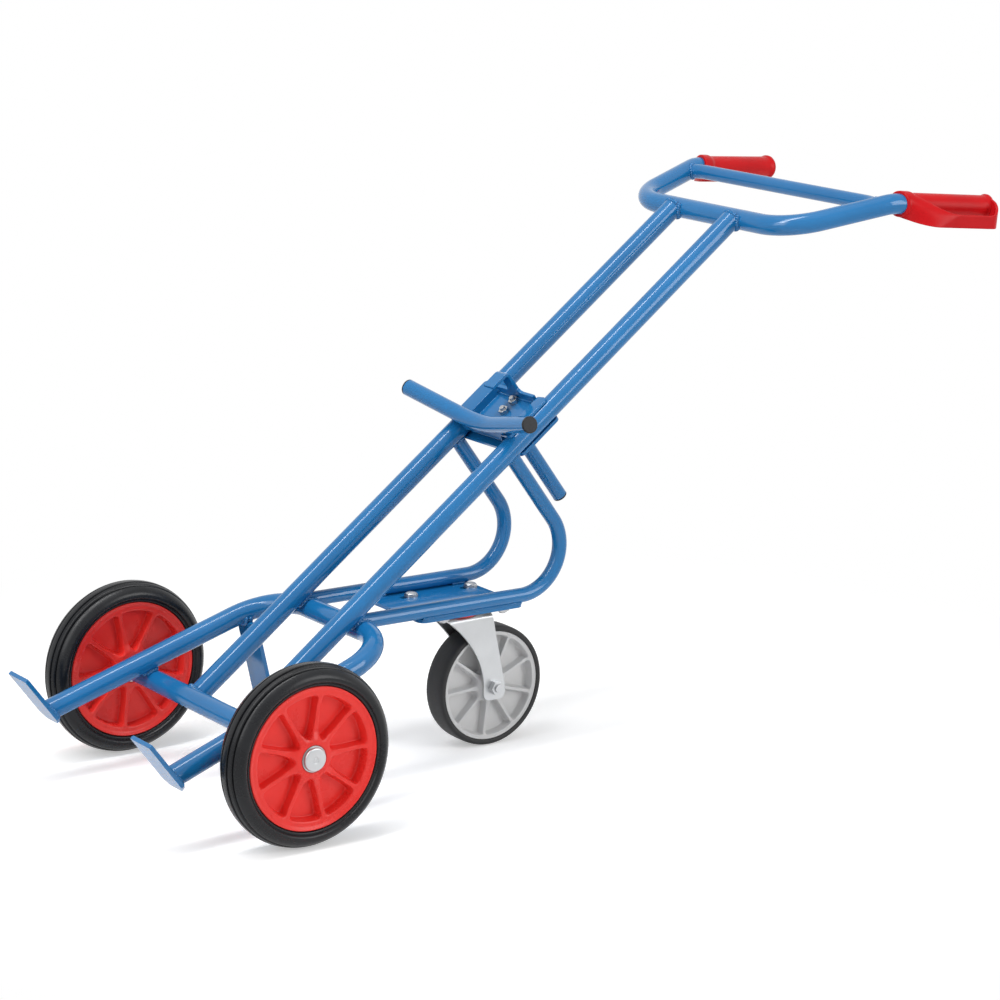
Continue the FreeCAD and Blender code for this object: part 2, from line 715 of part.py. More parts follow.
# Main wheels: a solid tyre on a plastic rim, with nine ribs on each side of the web and a bush in the hub.
tyre_seat = "rim_seat_dia / 2 + seat_gap"
tyre_deep = "(tyre_depth - seat_gap)"
rim_lip = "rim_seat_dia / 2 + lip_height"
half_tyre = [("%s + %s * %s" % (tyre_seat, tyre_deep, deep), "tyre_width / 2 * %s" % share)
             for share, deep in TYRE_SHARES]
other_tyre = [(radius, "-" + height) for radius, height in reversed(half_tyre)]
rim_half = [("bush_dia / 2 + seat_gap", "hub_length / 2"), ("hub_dia / 2", "hub_length / 2"),
            ("hub_dia / 2", "web_thick / 2"), ("rim_seat_dia / 2 - barrel_thick", "web_thick / 2"),
            ("rim_seat_dia / 2 - barrel_thick", "rim_width / 2"), (rim_lip, "rim_width / 2"),
            (rim_lip, "rim_width / 2 - lip_thick"), ("rim_seat_dia / 2", "rim_width / 2 - lip_thick")]
other_rim = [(radius, "-(%s)" % height) for radius, height in reversed(rim_half)]
bush_section = [("axle_dia / 2 + running_gap", "hub_length / 2"), ("bush_dia / 2", "hub_length / 2")]
other_bush = [(radius, "-" + height) for radius, height in reversed(bush_section)]


def ribs(owner, name, hub, barrel, sink, thick, flare, height, count):
    """Ribs from hub to barrel, wider at both ends and sunk into both, patterned round the axis."""
    drawing = sketch(owner, name, "XY_Plane")
    near = "%s - %s" % (hub, sink)
    far = "%s + %s" % (barrel, sink)
    waist_in = "%s + %s" % (hub, flare)
    waist_out = "%s - %s" % (barrel, flare)
    broad = "%s / 2" % flare
    slim = "%s / 2" % thick
    edge = ((near, broad), (hub, broad), (waist_in, slim), (waist_out, slim), (barrel, broad), (far, broad))
    outline(drawing, [(along, "-" + across) for along, across in edge] + list(reversed(edge)))
    rib = pad(owner, drawing, height, symmetric=True)
    pattern = owner.newObject("PartDesign::PolarPattern", name + "_pattern")
    pattern.Originals = [rib]
    axis = next(feature for feature in owner.Origin.OriginFeatures if feature.Role == "Z_Axis")
    pattern.Axis = (axis, [""])
    pattern.Angle = 360
    bind(pattern, "Occurrences", count)
    owner.Tip = pattern
    doc.recompute()


for side_name, side in (("left", -1), ("right", 1)):
    spot = axle + V(side * size("half_track"), 0, 0)
    wheel_place = FreeCAD.Placement(spot, ALONG_X)
    keep("tyre_" + side_name, revolved("tyre_" + side_name, half_tyre + other_tyre), wheel_place)
    rim = revolved("rim_" + side_name, rim_half + other_rim)
    ribs(rim, "rim_ribs_" + side_name, "hub_dia / 2", "rim_seat_dia / 2 - barrel_thick", "barrel_thick / 2",
         "rib_thick", "rib_flare", "hub_length - 2 * rib_inset", "rib_count")
    keep("rim_" + side_name, rim, wheel_place)
    keep("hub_bush_" + side_name, revolved("hub_bush_" + side_name, bush_section + other_bush), wheel_place)

# Washers on both sides of each hub, and the push-on caps at the axle ends.
washers = []
for side in (-1, 1):
    for place in (-1, 1):
        inner = size("half_track") + place * (size("hub_length") / 2 + size("side_play"))
        start = inner if place > 0 else inner - size("washer_thick")
        disc = Part.makeCylinder(size("washer_dia") / 2, size("washer_thick"), axle + V(side * start, 0, 0),
                                 V(side, 0, 0))
        hole = Part.makeCylinder(size("axle_dia") / 2 + size("seat_gap"), size("washer_thick"),
                                 axle + V(side * start, 0, 0), V(side, 0, 0))
        washers.append(disc.cut(hole))
solid("wheel_washers", Part.makeCompound(washers))
cap_section = (("axle_dia / 2 + seat_gap", "0"), ("cap_dia / 2", "0"),
               ("cap_dia / 2", "cap_height - cap_wall * 2"),
               ("cap_dia / 2 - cap_wall", "cap_height"), ("dimple_dia / 2", "cap_height"),
               ("0", "cap_height - cap_wall / 2"), ("0", "cap_height - cap_wall"),
               ("axle_dia / 2 + seat_gap", "cap_height - cap_wall"))
cap_reach = size("half_track") + size("hub_length") / 2 + size("side_play") + size("washer_thick")
for label, side in (("axle_cap_left", -1), ("axle_cap_right", 1)):
    turn = FreeCAD.Rotation(V(0, 1, 0), side * 90)
    keep(label, revolved(label, cap_section), FreeCAD.Placement(axle + V(side * cap_reach, 0, 0), turn))

# Castor top plate with the fixed half of its swivel: race ring and kingpin.
plate = body("castor_top_plate")
drawing = sketch(plate, "castor_top_plate_outline", "XY_Plane")
outline(drawing, (("-top_plate_width / 2", "-top_plate_length / 2"),
                  ("top_plate_width / 2", "-top_plate_length / 2"),
                  ("top_plate_width / 2", "top_plate_length / 2"),
                  ("-top_plate_width / 2", "top_plate_length / 2")))
base = pad(plate, drawing, "top_plate_thick")
rounded(plate, base, "top_plate_corner", runs_along(V(0, 0, 1)))
holes = sketch(plate, "castor_top_plate_holes", "XY_Plane")
for side in ("-", ""):
    for end in ("-", ""):
        circle(holes, "%sbolt_pitch_wide / 2" % side, "%sbolt_pitch_long / 2" % end, "slot_width")
pocket(plate, holes, "4 * top_plate_thick")
keep("castor_top_plate", plate, FreeCAD.Placement(swivel + V(0, 0, top_plate_low), UPRIGHT))
race = revolved("castor_race", (("kingpin_dia / 2 + seat_gap", "0"), ("race_dia / 2", "0"),
                                ("race_dia / 2", "race_height"),
                                ("kingpin_dia / 2 + seat_gap", "race_height")))
race_low = top_plate_low - size("race_height")
keep("castor_race", race, FreeCAD.Placement(swivel + V(0, 0, race_low), UPRIGHT))
pin_low = crown_low - size("slide_gap")
pin_shape = Part.makeCylinder(size("kingpin_dia") / 2, top_plate_low - pin_low, swivel + V(0, 0, pin_low))
pin_head = Part.makeCylinder(size("kingpin_head_dia") / 2, size("kingpin_head"),
                             swivel + V(0, 0, pin_low - size("kingpin_head")))
solid("castor_kingpin", pin_shape.fuse(pin_head).removeSplitter())

# Bolts, washers and nuts that hold the castor to its plate.
bolts = []
rings = []
nuts = []
for spot in bolt_spots:
    head_low = plate_top + size("bolt_washer")
    nut_low = top_plate_low - size("bolt_nut")
    shank_low = nut_low - size("bolt_stub")
    shank = Part.makeCylinder(size("bolt_dia") / 2, head_low - shank_low, spot + V(0, 0, shank_low))
    bolts.append(shank.fuse(hexagon(size("bolt_head_width"), size("bolt_head"), spot + V(0, 0, head_low),
                                    V(0, 0, 1))).removeSplitter())
    ring = Part.makeCylinder(size("bolt_washer_dia") / 2, size("bolt_washer"), spot + V(0, 0, plate_top))
    rings.append(ring.cut(Part.makeCylinder(size("bolt_dia") / 2 + size("seat_gap"), size("bolt_washer"),
                                            spot + V(0, 0, plate_top))))
    nut = hexagon(size("bolt_head_width"), size("bolt_nut"), spot + V(0, 0, nut_low), V(0, 0, 1))
    nuts.append(nut.cut(Part.makeCylinder(size("bolt_dia") / 2 + size("seat_gap"), size("bolt_nut"),
                                          spot + V(0, 0, nut_low))))
solid("castor_bolts", Part.makeCompound(bolts))
solid("castor_bolt_washers", Part.makeCompound(rings))
solid("castor_bolt_nuts", Part.makeCompound(nuts))

# Castor fork: pressed sheet with a crown over the wheel and two legs that taper back to the axle.
leg_in = size("castor_hub_length") / 2 + size("side_play")
leg_out = leg_in + size("fork_sheet")
foot_y = size("castor_trail")
foot_z = castor_axle.z
foot = size("fork_foot")
front_top = V(0, -size("fork_front"), crown_top)
back_top = V(0, size("fork_back"), crown_top)
foot_front = V(0, foot_y - foot, foot_z)
foot_back = V(0, foot_y + foot, foot_z)
waist = V(0, foot_y - foot - (foot_y - foot + size("fork_front")) / 4, (foot_z + crown_top) / 2)
leg_edges = [Part.LineSegment(back_top, foot_back).toShape(),
             Part.Arc(foot_back, V(0, foot_y, foot_z - foot), foot_front).toShape(),
             Part.Arc(foot_front, waist, front_top).toShape(),
             Part.LineSegment(front_top, back_top).toShape()]
leg_face = Part.Face(Part.Wire(leg_edges))
fork = leg_face.extrude(V(2 * leg_out, 0, 0))
fork.translate(V(-leg_out, 0, 0))
top_edges = [edge for edge in fork.Edges if abs(edge.CenterOfMass.x) > leg_in
             and edge.CenterOfMass.z > crown_top - size("seat_gap")]
fork = fork.makeFillet(size("fork_fold"), top_edges)
inside = Part.makeBox(2 * leg_in, size("cut_overrun") * 4, crown_low)
inside.translate(V(-leg_in, -size("cut_overrun") * 2, 0))
inside_edges = [edge for edge in inside.Edges if edge.CenterOfMass.z > crown_low - size("seat_gap")
                and abs(edge.CenterOfMass.x) > leg_in - size("seat_gap")]
inside = inside.makeFillet(size("fork_fold") - size("fork_sheet"), inside_edges)
fork = fork.cut(inside)
fork = fork.cut(Part.makeCylinder(size("kingpin_dia") / 2 + size("running_gap"), size("cut_overrun"),
                                  V(0, 0, crown_top - size("cut_overrun") / 2)))
fork = fork.cut(Part.makeCylinder(size("castor_axle_dia") / 2 + size("seat_gap"), 4 * leg_out,
                                  V(-2 * leg_out, foot_y, foot_z), V(1, 0, 0)))
solid("castor_fork", fork, FreeCAD.Placement(swivel, UPRIGHT))

# Seal ring that closes the swivel bearing, carried on the crown.
seal = revolved("castor_seal", (("race_dia / 2 + slide_gap", "0"), ("seal_dia / 2", "0"),
                                ("seal_dia / 2", "seal_height * seal_skirt_share"),
                                ("race_dia / 2 + slide_gap", "seal_height")))
keep("castor_seal", seal, FreeCAD.Placement(swivel + V(0, 0, crown_top + size("seat_gap")), UPRIGHT))

# Castor axle: a bolt through both legs, a sleeve between them and a nut outside.
axle_low = -leg_out - size("seat_gap")
shank_end = leg_out + size("seat_gap") + size("castor_nut") + size("bolt_stub")
head_base = castor_axle + V(axle_low, 0, 0)
shank = Part.makeCylinder(size("castor_axle_dia") / 2, shank_end - axle_low, head_base, V(1, 0, 0))
head = hexagon(size("castor_nut_width"), size("bolt_head"), head_base, V(-1, 0, 0))
solid("castor_axle", shank.fuse(head).removeSplitter())
nut_base = castor_axle + V(leg_out + size("seat_gap"), 0, 0)
nut = hexagon(size("castor_nut_width"), size("castor_nut"), nut_base, V(1, 0, 0))
nut_bore = size("castor_axle_dia") / 2 + size("seat_gap")
nut_hole = Part.makeCylinder(nut_bore, size("castor_nut"), nut_base, V(1, 0, 0))
solid("castor_axle_nut", nut.cut(nut_hole))
sleeve_end = "castor_hub_length / 2 + side_play - seat_gap"
sleeve = revolved("castor_sleeve", (("castor_axle_dia / 2 + seat_gap", sleeve_end),
                                    ("castor_sleeve_dia / 2", sleeve_end),
                                    ("castor_sleeve_dia / 2", "-(%s)" % sleeve_end),
                                    ("castor_axle_dia / 2 + seat_gap", "-(%s)" % sleeve_end)))
castor_place = FreeCAD.Placement(castor_axle, ALONG_X)
keep("castor_sleeve", sleeve, castor_place)

# Castor wheel: ribbed plastic rim with a rubber tread, turning on a bush.
tread_seat = "castor_rim_dia / 2 + seat_gap"
tread_deep = "(tread_depth - seat_gap)"
tread_face = "castor_rim_dia / 2 + tread_depth"
half_tread = [("%s + %s * %s" % (tread_seat, tread_deep, deep), "tread_width / 2 * %s" % share)
              for share, deep in TREAD_SHARES]
crown_line = [(tread_face, "tread_width / 4"), (tread_face, "-tread_width / 4")]
other_tread = [(radius, "-" + height) for radius, height in reversed(half_tread)]
keep("castor_tread", revolved("castor_tread", half_tread + crown_line + other_tread), castor_place)
castor_half = [("castor_bush_dia / 2 + seat_gap", "castor_hub_length / 2"),
               ("castor_hub_dia / 2", "castor_hub_length / 2"), ("castor_hub_dia / 2", "castor_web / 2"),
               ("castor_rim_dia / 2 - castor_barrel", "castor_web / 2"),
               ("castor_rim_dia / 2 - castor_barrel", "castor_rim_width / 2"),
               ("castor_rim_dia / 2", "castor_rim_width / 2")]
other_castor = [(radius, "-" + height) for radius, height in reversed(castor_half)]
rim = revolved("castor_rim", castor_half + other_castor)
ribs(rim, "castor_ribs", "castor_hub_dia / 2", "castor_rim_dia / 2 - castor_barrel", "castor_barrel / 2",
     "castor_rib_thick", "3 * castor_rib_thick", "castor_rim_width - 2 * castor_rib_inset",
     "castor_rib_count")
keep("castor_rim", rim, castor_place)
bush_half = [("castor_sleeve_dia / 2 + running_gap", "castor_hub_length / 2"),
             ("castor_bush_dia / 2", "castor_hub_length / 2")]
other_half = [(radius, "-" + height) for radius, height in reversed(bush_half)]
keep("castor_bush", revolved("castor_bush", bush_half + other_half), castor_place)

# Carriage trough: hat-section sheet between the main tubes with flanges on their front.
carriage_place = main_frame.multiply(FreeCAD.Placement(V(0, carriage_high, 0), UPRIGHT))
flange_low = "main_dia / 2 + slide_gap"
flange_high = "main_dia / 2 + slide_gap + trough_sheet"
trough = body("carriage_trough")
drawing = sketch(trough, "trough_section", "XZ_Plane")
outer_half = [("trough_half", "floor_level - trough_sheet"), ("trough_half", flange_low),
              ("flange_half", flange_low), ("flange_half", flange_high)]
inner_half = [("trough_half - trough_sheet", flange_high), ("trough_half - trough_sheet", "floor_level")]
right_half = outer_half + inner_half
outline(drawing, right_half + [("-(%s)" % across, off) for across, off in reversed(right_half)])
base = pad(trough, drawing, "carriage_length")
corner_edge = runs_along(V(0, 0, 1))
rounded(trough, base, "trough_corner",
        lambda edge: corner_edge(edge) and abs(edge.CenterOfMass.x) > size("trough_half") + size("seat_gap"))
stud_holes = sketch(trough, "trough_holes", "XY_Plane")
for station in ("pull_station", "pull_station + stud_pitch"):
    circle(stud_holes, "0", "%s - carriage_length" % station, "stud_dia + 2 * seat_gap")
pocket(trough, stud_holes, "4 * main_dia")
keep("carriage_trough", trough, carriage_place)

# Rim hook: sheet across the upper end of the trough, drawn up to a tongue and folded over the drum's rim.
hook_base = size("trough_half") - size("trough_sheet") - size("weld_gap")
tongue = size("hook_width") / 2
hook_low = size("floor_level") + size("weld_gap")
hook_top = size("hook_rise")
fold = size("hook_bend")
side_edges = [V(0, 0, hook_low), V(0, 0, hook_top), V(0, -size("hook_reach"), hook_top),
              V(0, -size("hook_reach"), hook_top - size("hook_sheet")),
              V(0, -size("hook_sheet"), hook_top - size("hook_sheet")), V(0, -size("hook_sheet"), hook_low),
              V(0, 0, hook_low)]
hook = Part.Face(Part.makePolygon(side_edges)).extrude(V(2 * hook_base, 0, 0))
hook.translate(V(-hook_base, 0, 0))
crease = [edge for edge in hook.Edges if abs(edge.CenterOfMass.y) < size("seat_gap")
          and abs(edge.CenterOfMass.z - hook_top) < size("seat_gap")]
hook = hook.makeFillet(fold, crease)
crook = [edge for edge in hook.Edges if abs(edge.CenterOfMass.y + size("hook_sheet")) < size("seat_gap")
         and abs(edge.CenterOfMass.z - hook_top + size("hook_sheet")) < size("seat_gap")
         and abs(edge.CenterOfMass.x) < size("seat_gap")]
hook = hook.makeFillet(fold - size("hook_sheet"), crook)
shoulder = flange_face - size("weld_gap")
curve = size("hook_fillet")
for side in (-1, 1):
    start = V(side * (tongue + curve), 0, shoulder)
    bend = V(side * (tongue + curve * (1 - math.sqrt(0.5))), 0, shoulder + curve * (1 - math.sqrt(0.5)))
    end = V(side * tongue, 0, shoulder + curve)
    far = side * (hook_base + size("cut_overrun"))
    high = hook_top + size("cut_overrun")
    waste = [Part.Arc(start, bend, end).toShape(), Part.LineSegment(end, V(end.x, 0, high)).toShape(),
             Part.LineSegment(V(end.x, 0, high), V(far, 0, high)).toShape(),
             Part.LineSegment(V(far, 0, high), V(far, 0, shoulder)).toShape(),
             Part.LineSegment(V(far, 0, shoulder), start).toShape()]
    tool = Part.Face(Part.Wire(waste)).extrude(V(0, -2 * size("cut_overrun"), 0))
    tool.translate(V(0, size("cut_overrun"), 0))
    hook = hook.cut(tool)
solid("rim_hook", hook, carriage_place)

# Cradle: tube bent to a shallow V across the flanges, with a cap in each end.
spread = math.radians(size("cradle_angle"))
flange_inner = size("trough_half") - size("trough_sheet")
cradle_dip = (flange_face + size("weld_gap") + size("cradle_dia") / 2 / math.cos(spread)
              - flange_inner * math.tan(spread))
cradle_y = carriage_low + size("cradle_station")
cradle_end = cradle_dip + size("cradle_half") * math.tan(spread)
cradle_path = bent_path([V(-size("cradle_half"), cradle_y, cradle_end), V(0, cradle_y, cradle_dip),
                         V(size("cradle_half"), cradle_y, cradle_end)], [size("cradle_bend")])
solid("cradle_tube", tube_along(cradle_path, size("cradle_dia"), size("cradle_wall")), main_frame)


def end_cap(dia, wall, spot, way):
    """Disc on the tube's end with a plug inside it."""
    disc = Part.makeCylinder(dia / 2, size("end_cap"), spot + way * size("seat_gap"), way)
    crisp = [edge for edge in disc.Edges if edge.CenterOfMass.distanceToPoint(spot) > size("end_cap")]
    disc = disc.makeChamfer(size("end_cap") / 3, crisp)
    plug = Part.makeCylinder(dia / 2 - wall - size("seat_gap"), size("plug_length") + size("seat_gap"),
                             spot - way * size("plug_length"), way)
    return disc.fuse(plug).removeSplitter()


for label, side in (("cradle_cap_left", -1), ("cradle_cap_right", 1)):
    way = V(side * math.cos(spread), 0, math.sin(spread))
    spot = V(side * size("cradle_half"), cradle_y, cradle_end)
    solid(label, end_cap(size("cradle_dia"), size("cradle_wall"), spot, way), main_frame)

# Clamp plate behind the main tubes, with rounded corners.
clamp = body("clamp_plate")
drawing = sketch(clamp, "clamp_outline", "XY_Plane")
outline(drawing, (("-clamp_half", "-carriage_length"), ("clamp_half", "-carriage_length"),
                  ("clamp_half", "0"), ("-clamp_half", "0")))
base = pad(clamp, drawing, "clamp_thick")
rounded(clamp, base, "clamp_corner", runs_along(V(0, 0, 1)))
stud_holes = sketch(clamp, "clamp_holes", "XY_Plane")
for station in ("pull_station", "pull_station + stud_pitch"):
    circle(stud_holes, "0", "%s - carriage_length" % station, "stud_dia + 2 * seat_gap")
pocket(clamp, stud_holes, "4 * main_dia")
keep("clamp_plate", clamp, carriage_place.multiply(FreeCAD.Placement(V(0, 0, clamp_back), UPRIGHT)))

# Pull tube behind the clamp plate, closed inside by a threaded disc and outside by a cap.
pull_y = carriage_low + size("pull_station")
pull_way = V(0, 0, -1)
pull_start = V(0, pull_y, clamp_back - size("weld_gap"))
pull_long = size("pull_reach") + pull_start.z
pull = Part.makeCylinder(size("pull_dia") / 2, pull_long, pull_start, pull_way)
pull_bore = Part.makeCylinder(size("pull_dia") / 2 - size("pull_wall"), pull_long - size("pull_disc"),
                              pull_start + pull_way * size("pull_disc"), pull_way)
stud_bore = size("stud_dia") / 2 + size("seat_gap")
stud_hole = Part.makeCylinder(stud_bore, size("pull_disc"), pull_start, pull_way)
solid("pull_tube", pull.cut(pull_bore).cut(stud_hole), main_frame)
pull_tip = pull_start + pull_way * pull_long
solid("pull_cap", end_cap(size("pull_dia"), size("pull_wall"), pull_tip, pull_way), main_frame)

# Studs that draw trough and clamp plate together over spacers, so that the carriage slides freely.
studs = []
stud_nuts = []
spacers = []
stud_radius = size("stud_dia") / 2
nut_level = size("floor_level")
stud_high = nut_level + size("stud_nut") + size("stud_tip")
for station, held in ((pull_y, True), (pull_y + size("stud_pitch"), False)):
    low = clamp_back - size("pull_disc") if held else clamp_back
    stud = Part.makeCylinder(stud_radius, stud_high - low, V(0, station, low))
    if not held:
        stud = stud.fuse(hexagon(size("stud_nut_width"), size("stud_head"), V(0, station, low), V(0, 0, -1)))
        stud = stud.removeSplitter()
    studs.append(stud)
    nut = hexagon(size("stud_nut_width"), size("stud_nut"), V(0, station, nut_level), V(0, 0, 1))
    stud_nuts.append(nut.cut(Part.makeCylinder(stud_radius + size("seat_gap"), size("stud_nut"),
                                               V(0, station, nut_level))))
    ring = Part.makeCylinder(size("spacer_dia") / 2, floor_back - clamp_face, V(0, station, clamp_face))
    spacers.append(ring.cut(Part.makeCylinder(stud_radius + size("seat_gap"), floor_back - clamp_face,
                                              V(0, station, clamp_face))))
solid("carriage_studs", Part.makeCompound(studs), main_frame)
solid("carriage_nuts", Part.makeCompound(stud_nuts), main_frame)
solid("carriage_spacers", Part.makeCompound(spacers), main_frame)

# Every object has to have computed before anything is written.
doc.recompute()
for thing in doc.Objects:
    if "Invalid" in thing.State or "Error" in thing.State:
        raise RuntimeError("%s did not compute: %s" % (thing.Name, thing.State))
for label, thing in pieces.items():
    if thing.Shape.isNull() or not thing.Shape.isValid():
        raise RuntimeError(label + " has no valid shape")

# The frame's origin moves from below the axle to the middle of the footprint.
front = min(thing.Shape.optimalBoundingBox().YMin for label, thing in pieces.items() if "toe" in label)
rear = max(thing.Shape.optimalBoundingBox().YMax for label, thing in pieces.items() if "grip" in label)
shift = V(0, -(front + rear) / 2, 0)
for label, thing in pieces.items():
    thing.Placement = FreeCAD.Placement(shift, UPRIGHT).multiply(thing.Placement)
doc.recompute()
for label, thing in pieces.items():
    thing.Shape.exportStep("parts/%s.step" % label)
print("pieces", len(pieces), "origin shift", round(shift.y, 2))
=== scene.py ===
import math

import bmesh
import bpy
from mathutils import Matrix, Quaternion, Vector
from mathutils.bvhtree import BVHTree


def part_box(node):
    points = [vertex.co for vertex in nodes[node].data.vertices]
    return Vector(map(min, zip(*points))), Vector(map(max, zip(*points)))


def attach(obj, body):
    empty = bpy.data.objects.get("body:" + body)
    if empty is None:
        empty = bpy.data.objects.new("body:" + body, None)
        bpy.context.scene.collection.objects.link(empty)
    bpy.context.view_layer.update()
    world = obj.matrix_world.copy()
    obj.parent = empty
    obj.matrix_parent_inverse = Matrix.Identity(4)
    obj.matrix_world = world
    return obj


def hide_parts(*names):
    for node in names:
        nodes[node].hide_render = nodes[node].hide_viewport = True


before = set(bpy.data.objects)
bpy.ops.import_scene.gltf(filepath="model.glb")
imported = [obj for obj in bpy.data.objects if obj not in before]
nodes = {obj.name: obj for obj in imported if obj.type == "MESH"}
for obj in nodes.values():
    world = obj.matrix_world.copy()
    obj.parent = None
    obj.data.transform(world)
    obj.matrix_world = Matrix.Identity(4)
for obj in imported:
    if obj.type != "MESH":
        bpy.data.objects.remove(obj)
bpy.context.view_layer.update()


# Axle tube: a straight length of round steel tube across the trolley, on which the frame is built up.
# The frame is welded first and then powder coated in gloss blue. The coat has a faint orange peel.
mm = 0.001
axle_low, axle_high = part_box("axle_rod")
axle = (axle_low + axle_high) / 2
axle_tube_low, axle_tube_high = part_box("axle_tube")
across = Vector((1, 0, 0))
blue_in_shade = (0.009, 0.146, 0.372)
blue_in_light = (0.012, 0.164, 0.408)
tube_radius = 15.0
axle_bore_radius = 10.1
tube_facets = 48
bend_step = math.radians(3)
run_step = 18.0


def added(tree, kind, **values):
    """Add a shader node and set its sockets; an underscore in a name stands for a space."""
    made = tree.nodes.new("ShaderNode" + kind)
    for socket, value in values.items():
        made.inputs[socket.replace("_", " ")].default_value = value
    return made


def surface(name, deep, pale, patch, rough, grain, depth, metal=0.0, scuffs=0.0, shine=0.5):
    """Finish with a slow drift between two colours, a drifting gloss and a fine grain.

    Patch and grain are the widths of the drift and of the grain in millimetres, and depth is the
    height of the grain. Rough is the range of the gloss. Scuffs is how much fine rubbed streaks dull
    it, and shine is the mirror strength.
    """
    made = bpy.data.materials.new(name)
    made.use_nodes = True
    tree = made.node_tree
    link = tree.links.new
    shader = tree.nodes["Principled BSDF"]
    shader.inputs["Metallic"].default_value = metal
    shader.inputs["Specular IOR Level"].default_value = shine
    place = added(tree, "TexCoord").outputs["Object"]

    drift = added(tree, "TexNoise", Scale=1 / (patch * mm), Detail=4.0)
    link(place, drift.inputs["Vector"])
    colours = added(tree, "ValToRGB")
    for stop, position, colour in zip(colours.color_ramp.elements, (0.32, 0.68), (deep, pale)):
        stop.position = position
        stop.color = (*colour, 1.0)
    link(drift.outputs["Fac"], colours.inputs["Fac"])
    link(colours.outputs["Color"], shader.inputs["Base Color"])

    gloss = added(tree, "MapRange", From_Min=0.3, From_Max=0.7, To_Min=rough[0], To_Max=rough[1])
    link(drift.outputs["Fac"], gloss.inputs["Value"])
    streaks = added(tree, "TexNoise", Scale=9 / (patch * mm), Detail=3.0, Distortion=1.5)
    link(place, streaks.inputs["Vector"])
    rubbed = added(tree, "MapRange", From_Min=0.56, From_Max=0.72, To_Min=0.0, To_Max=scuffs)
    link(streaks.outputs["Fac"], rubbed.inputs["Value"])
    dulled = added(tree, "Math")
    dulled.operation = "ADD"
    link(gloss.outputs["Result"], dulled.inputs[0])
    link(rubbed.outputs["Result"], dulled.inputs[1])
    link(dulled.outputs["Value"], shader.inputs["Roughness"])

    fine = added(tree, "TexNoise", Scale=1 / (grain * mm), Detail=2.0)
    link(place, fine.inputs["Vector"])
    relief = added(tree, "Bump", Strength=0.6, Distance=depth * mm)
    link(fine.outputs["Fac"], relief.inputs["Height"])
    link(relief.outputs["Normal"], shader.inputs["Normal"])
    return made


def fitted(name, shape, finish, body, replaced, place=None, crisp=35):
    """Put a shape on the trolley as a piece that rides on a body and stands for CAD nodes."""
    mesh = bpy.data.meshes.new(name)
    shape.to_mesh(mesh)
    shape.free()
    mesh.materials.append(finish)
    mesh.shade_smooth()
    mesh.set_sharp_from_angle(angle=math.radians(crisp))
    made = bpy.data.objects.new(name, mesh)
    bpy.context.scene.collection.objects.link(made)
    if place is not None:
        made.matrix_world = place
    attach(made, body)
    if replaced:
        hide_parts(*replaced)
    return made


def full_turn(count):
    """Even angles once round."""
    return [math.tau * step / count for step in range(count)]


def skinned(shape, rings, round_again=False, capped=False):
    """Join rings of points with faces, each to the next one, with a face on both ends if capped."""
    pairs = list(zip(rings, rings[1:])) + ([(rings[-1], rings[0])] if round_again else [])
    for here, there in pairs:
        for step in range(len(here)):
            after = (step + 1) % len(here)
            shape.faces.new((here[step], here[after], there[after], there[step]))
    if capped:
        shape.faces.new(rings[0])
        shape.faces.new(rings[-1])


def first_hit(spot, way, tubes):
    """How far a ray runs until it meets one of some round tubes, each given as spot, way, radius."""
    runs = []
    for base, along, radius in tubes:
        side = spot - base
        side -= along * side.dot(along)
        slant = way - along * way.dot(along)
        square = slant.dot(slant)
        half = side.dot(slant) / square
        rest = half * half - (side.dot(side) - radius * radius) / square
        if rest >= 0:
            runs.append(-half - math.sqrt(rest))
    return min(runs) if runs else None


def bent_line(spots, bends):
    """Stations of a bent tube: spot, way ahead and a cross direction that turns with the bends."""
    way = (spots[1] - spots[0]).normalized()
    cross = way.orthogonal().normalized()
    stations = [(spots[0], way, cross)]

    def run_to(end):
        """Stations along a straight run."""
        start = stations[-1][0]
        steps = max(1, math.ceil((end - start).length / (run_step * mm)))
        for step in range(1, steps + 1):
            stations.append((start.lerp(end, step / steps), way, cross))

    for index, bend in enumerate(bends, start=1):
        corner = spots[index]
        onward = (spots[index + 1] - corner).normalized()
        turn = way.angle(onward)
        axis = way.cross(onward).normalized()
        entry = corner - way * (bend * mm * math.tan(turn / 2))
        centre = entry + axis.cross(way) * (bend * mm)
        run_to(entry)
        steps = max(2, math.ceil(turn / bend_step))
        for step in range(1, steps + 1):
            part = Quaternion(axis, turn * step / steps)
            stations.append((centre + part @ (entry - centre), part @ way, part @ cross))
        way, cross = stations[-1][1:]
    run_to(spots[-1])
    return stations


def bent_tube(spots, bends, radius, wall, start_on=(), end_on=()):
    """Shape of a tube with both its walls; an end can be cut to fit on other round tubes."""
    stations = bent_line(spots, bends)
    last = len(stations) - 1
    saddle_depth = 2 * radius * mm
    shape = bmesh.new()
    skins = []
    for skin in (radius * mm, (radius - wall) * mm):
        rings = []
        for index, (spot, way, cross) in enumerate(stations):
            ring = []
            for turn in full_turn(tube_facets):
                point = spot + Quaternion(way, turn) @ cross * skin
                if index == 0 and start_on:
                    inner = point + way * saddle_depth
                    run = first_hit(inner, -way, start_on)
                    point = point if run is None else inner - way * run
                if index == last and end_on:
                    inner = point - way * saddle_depth
                    run = first_hit(inner, way, end_on)
                    point = point if run is None else inner + way * run
                ring.append(shape.verts.new(point))
            rings.append(ring)
        skins.append(rings)
    outside, inside = skins
    skinned(shape, outside)
    skinned(shape, [ring[::-1] for ring in inside])
    skinned(shape, [inside[0], outside[0]])
    skinned(shape, [outside[-1], inside[-1]])
    return shape


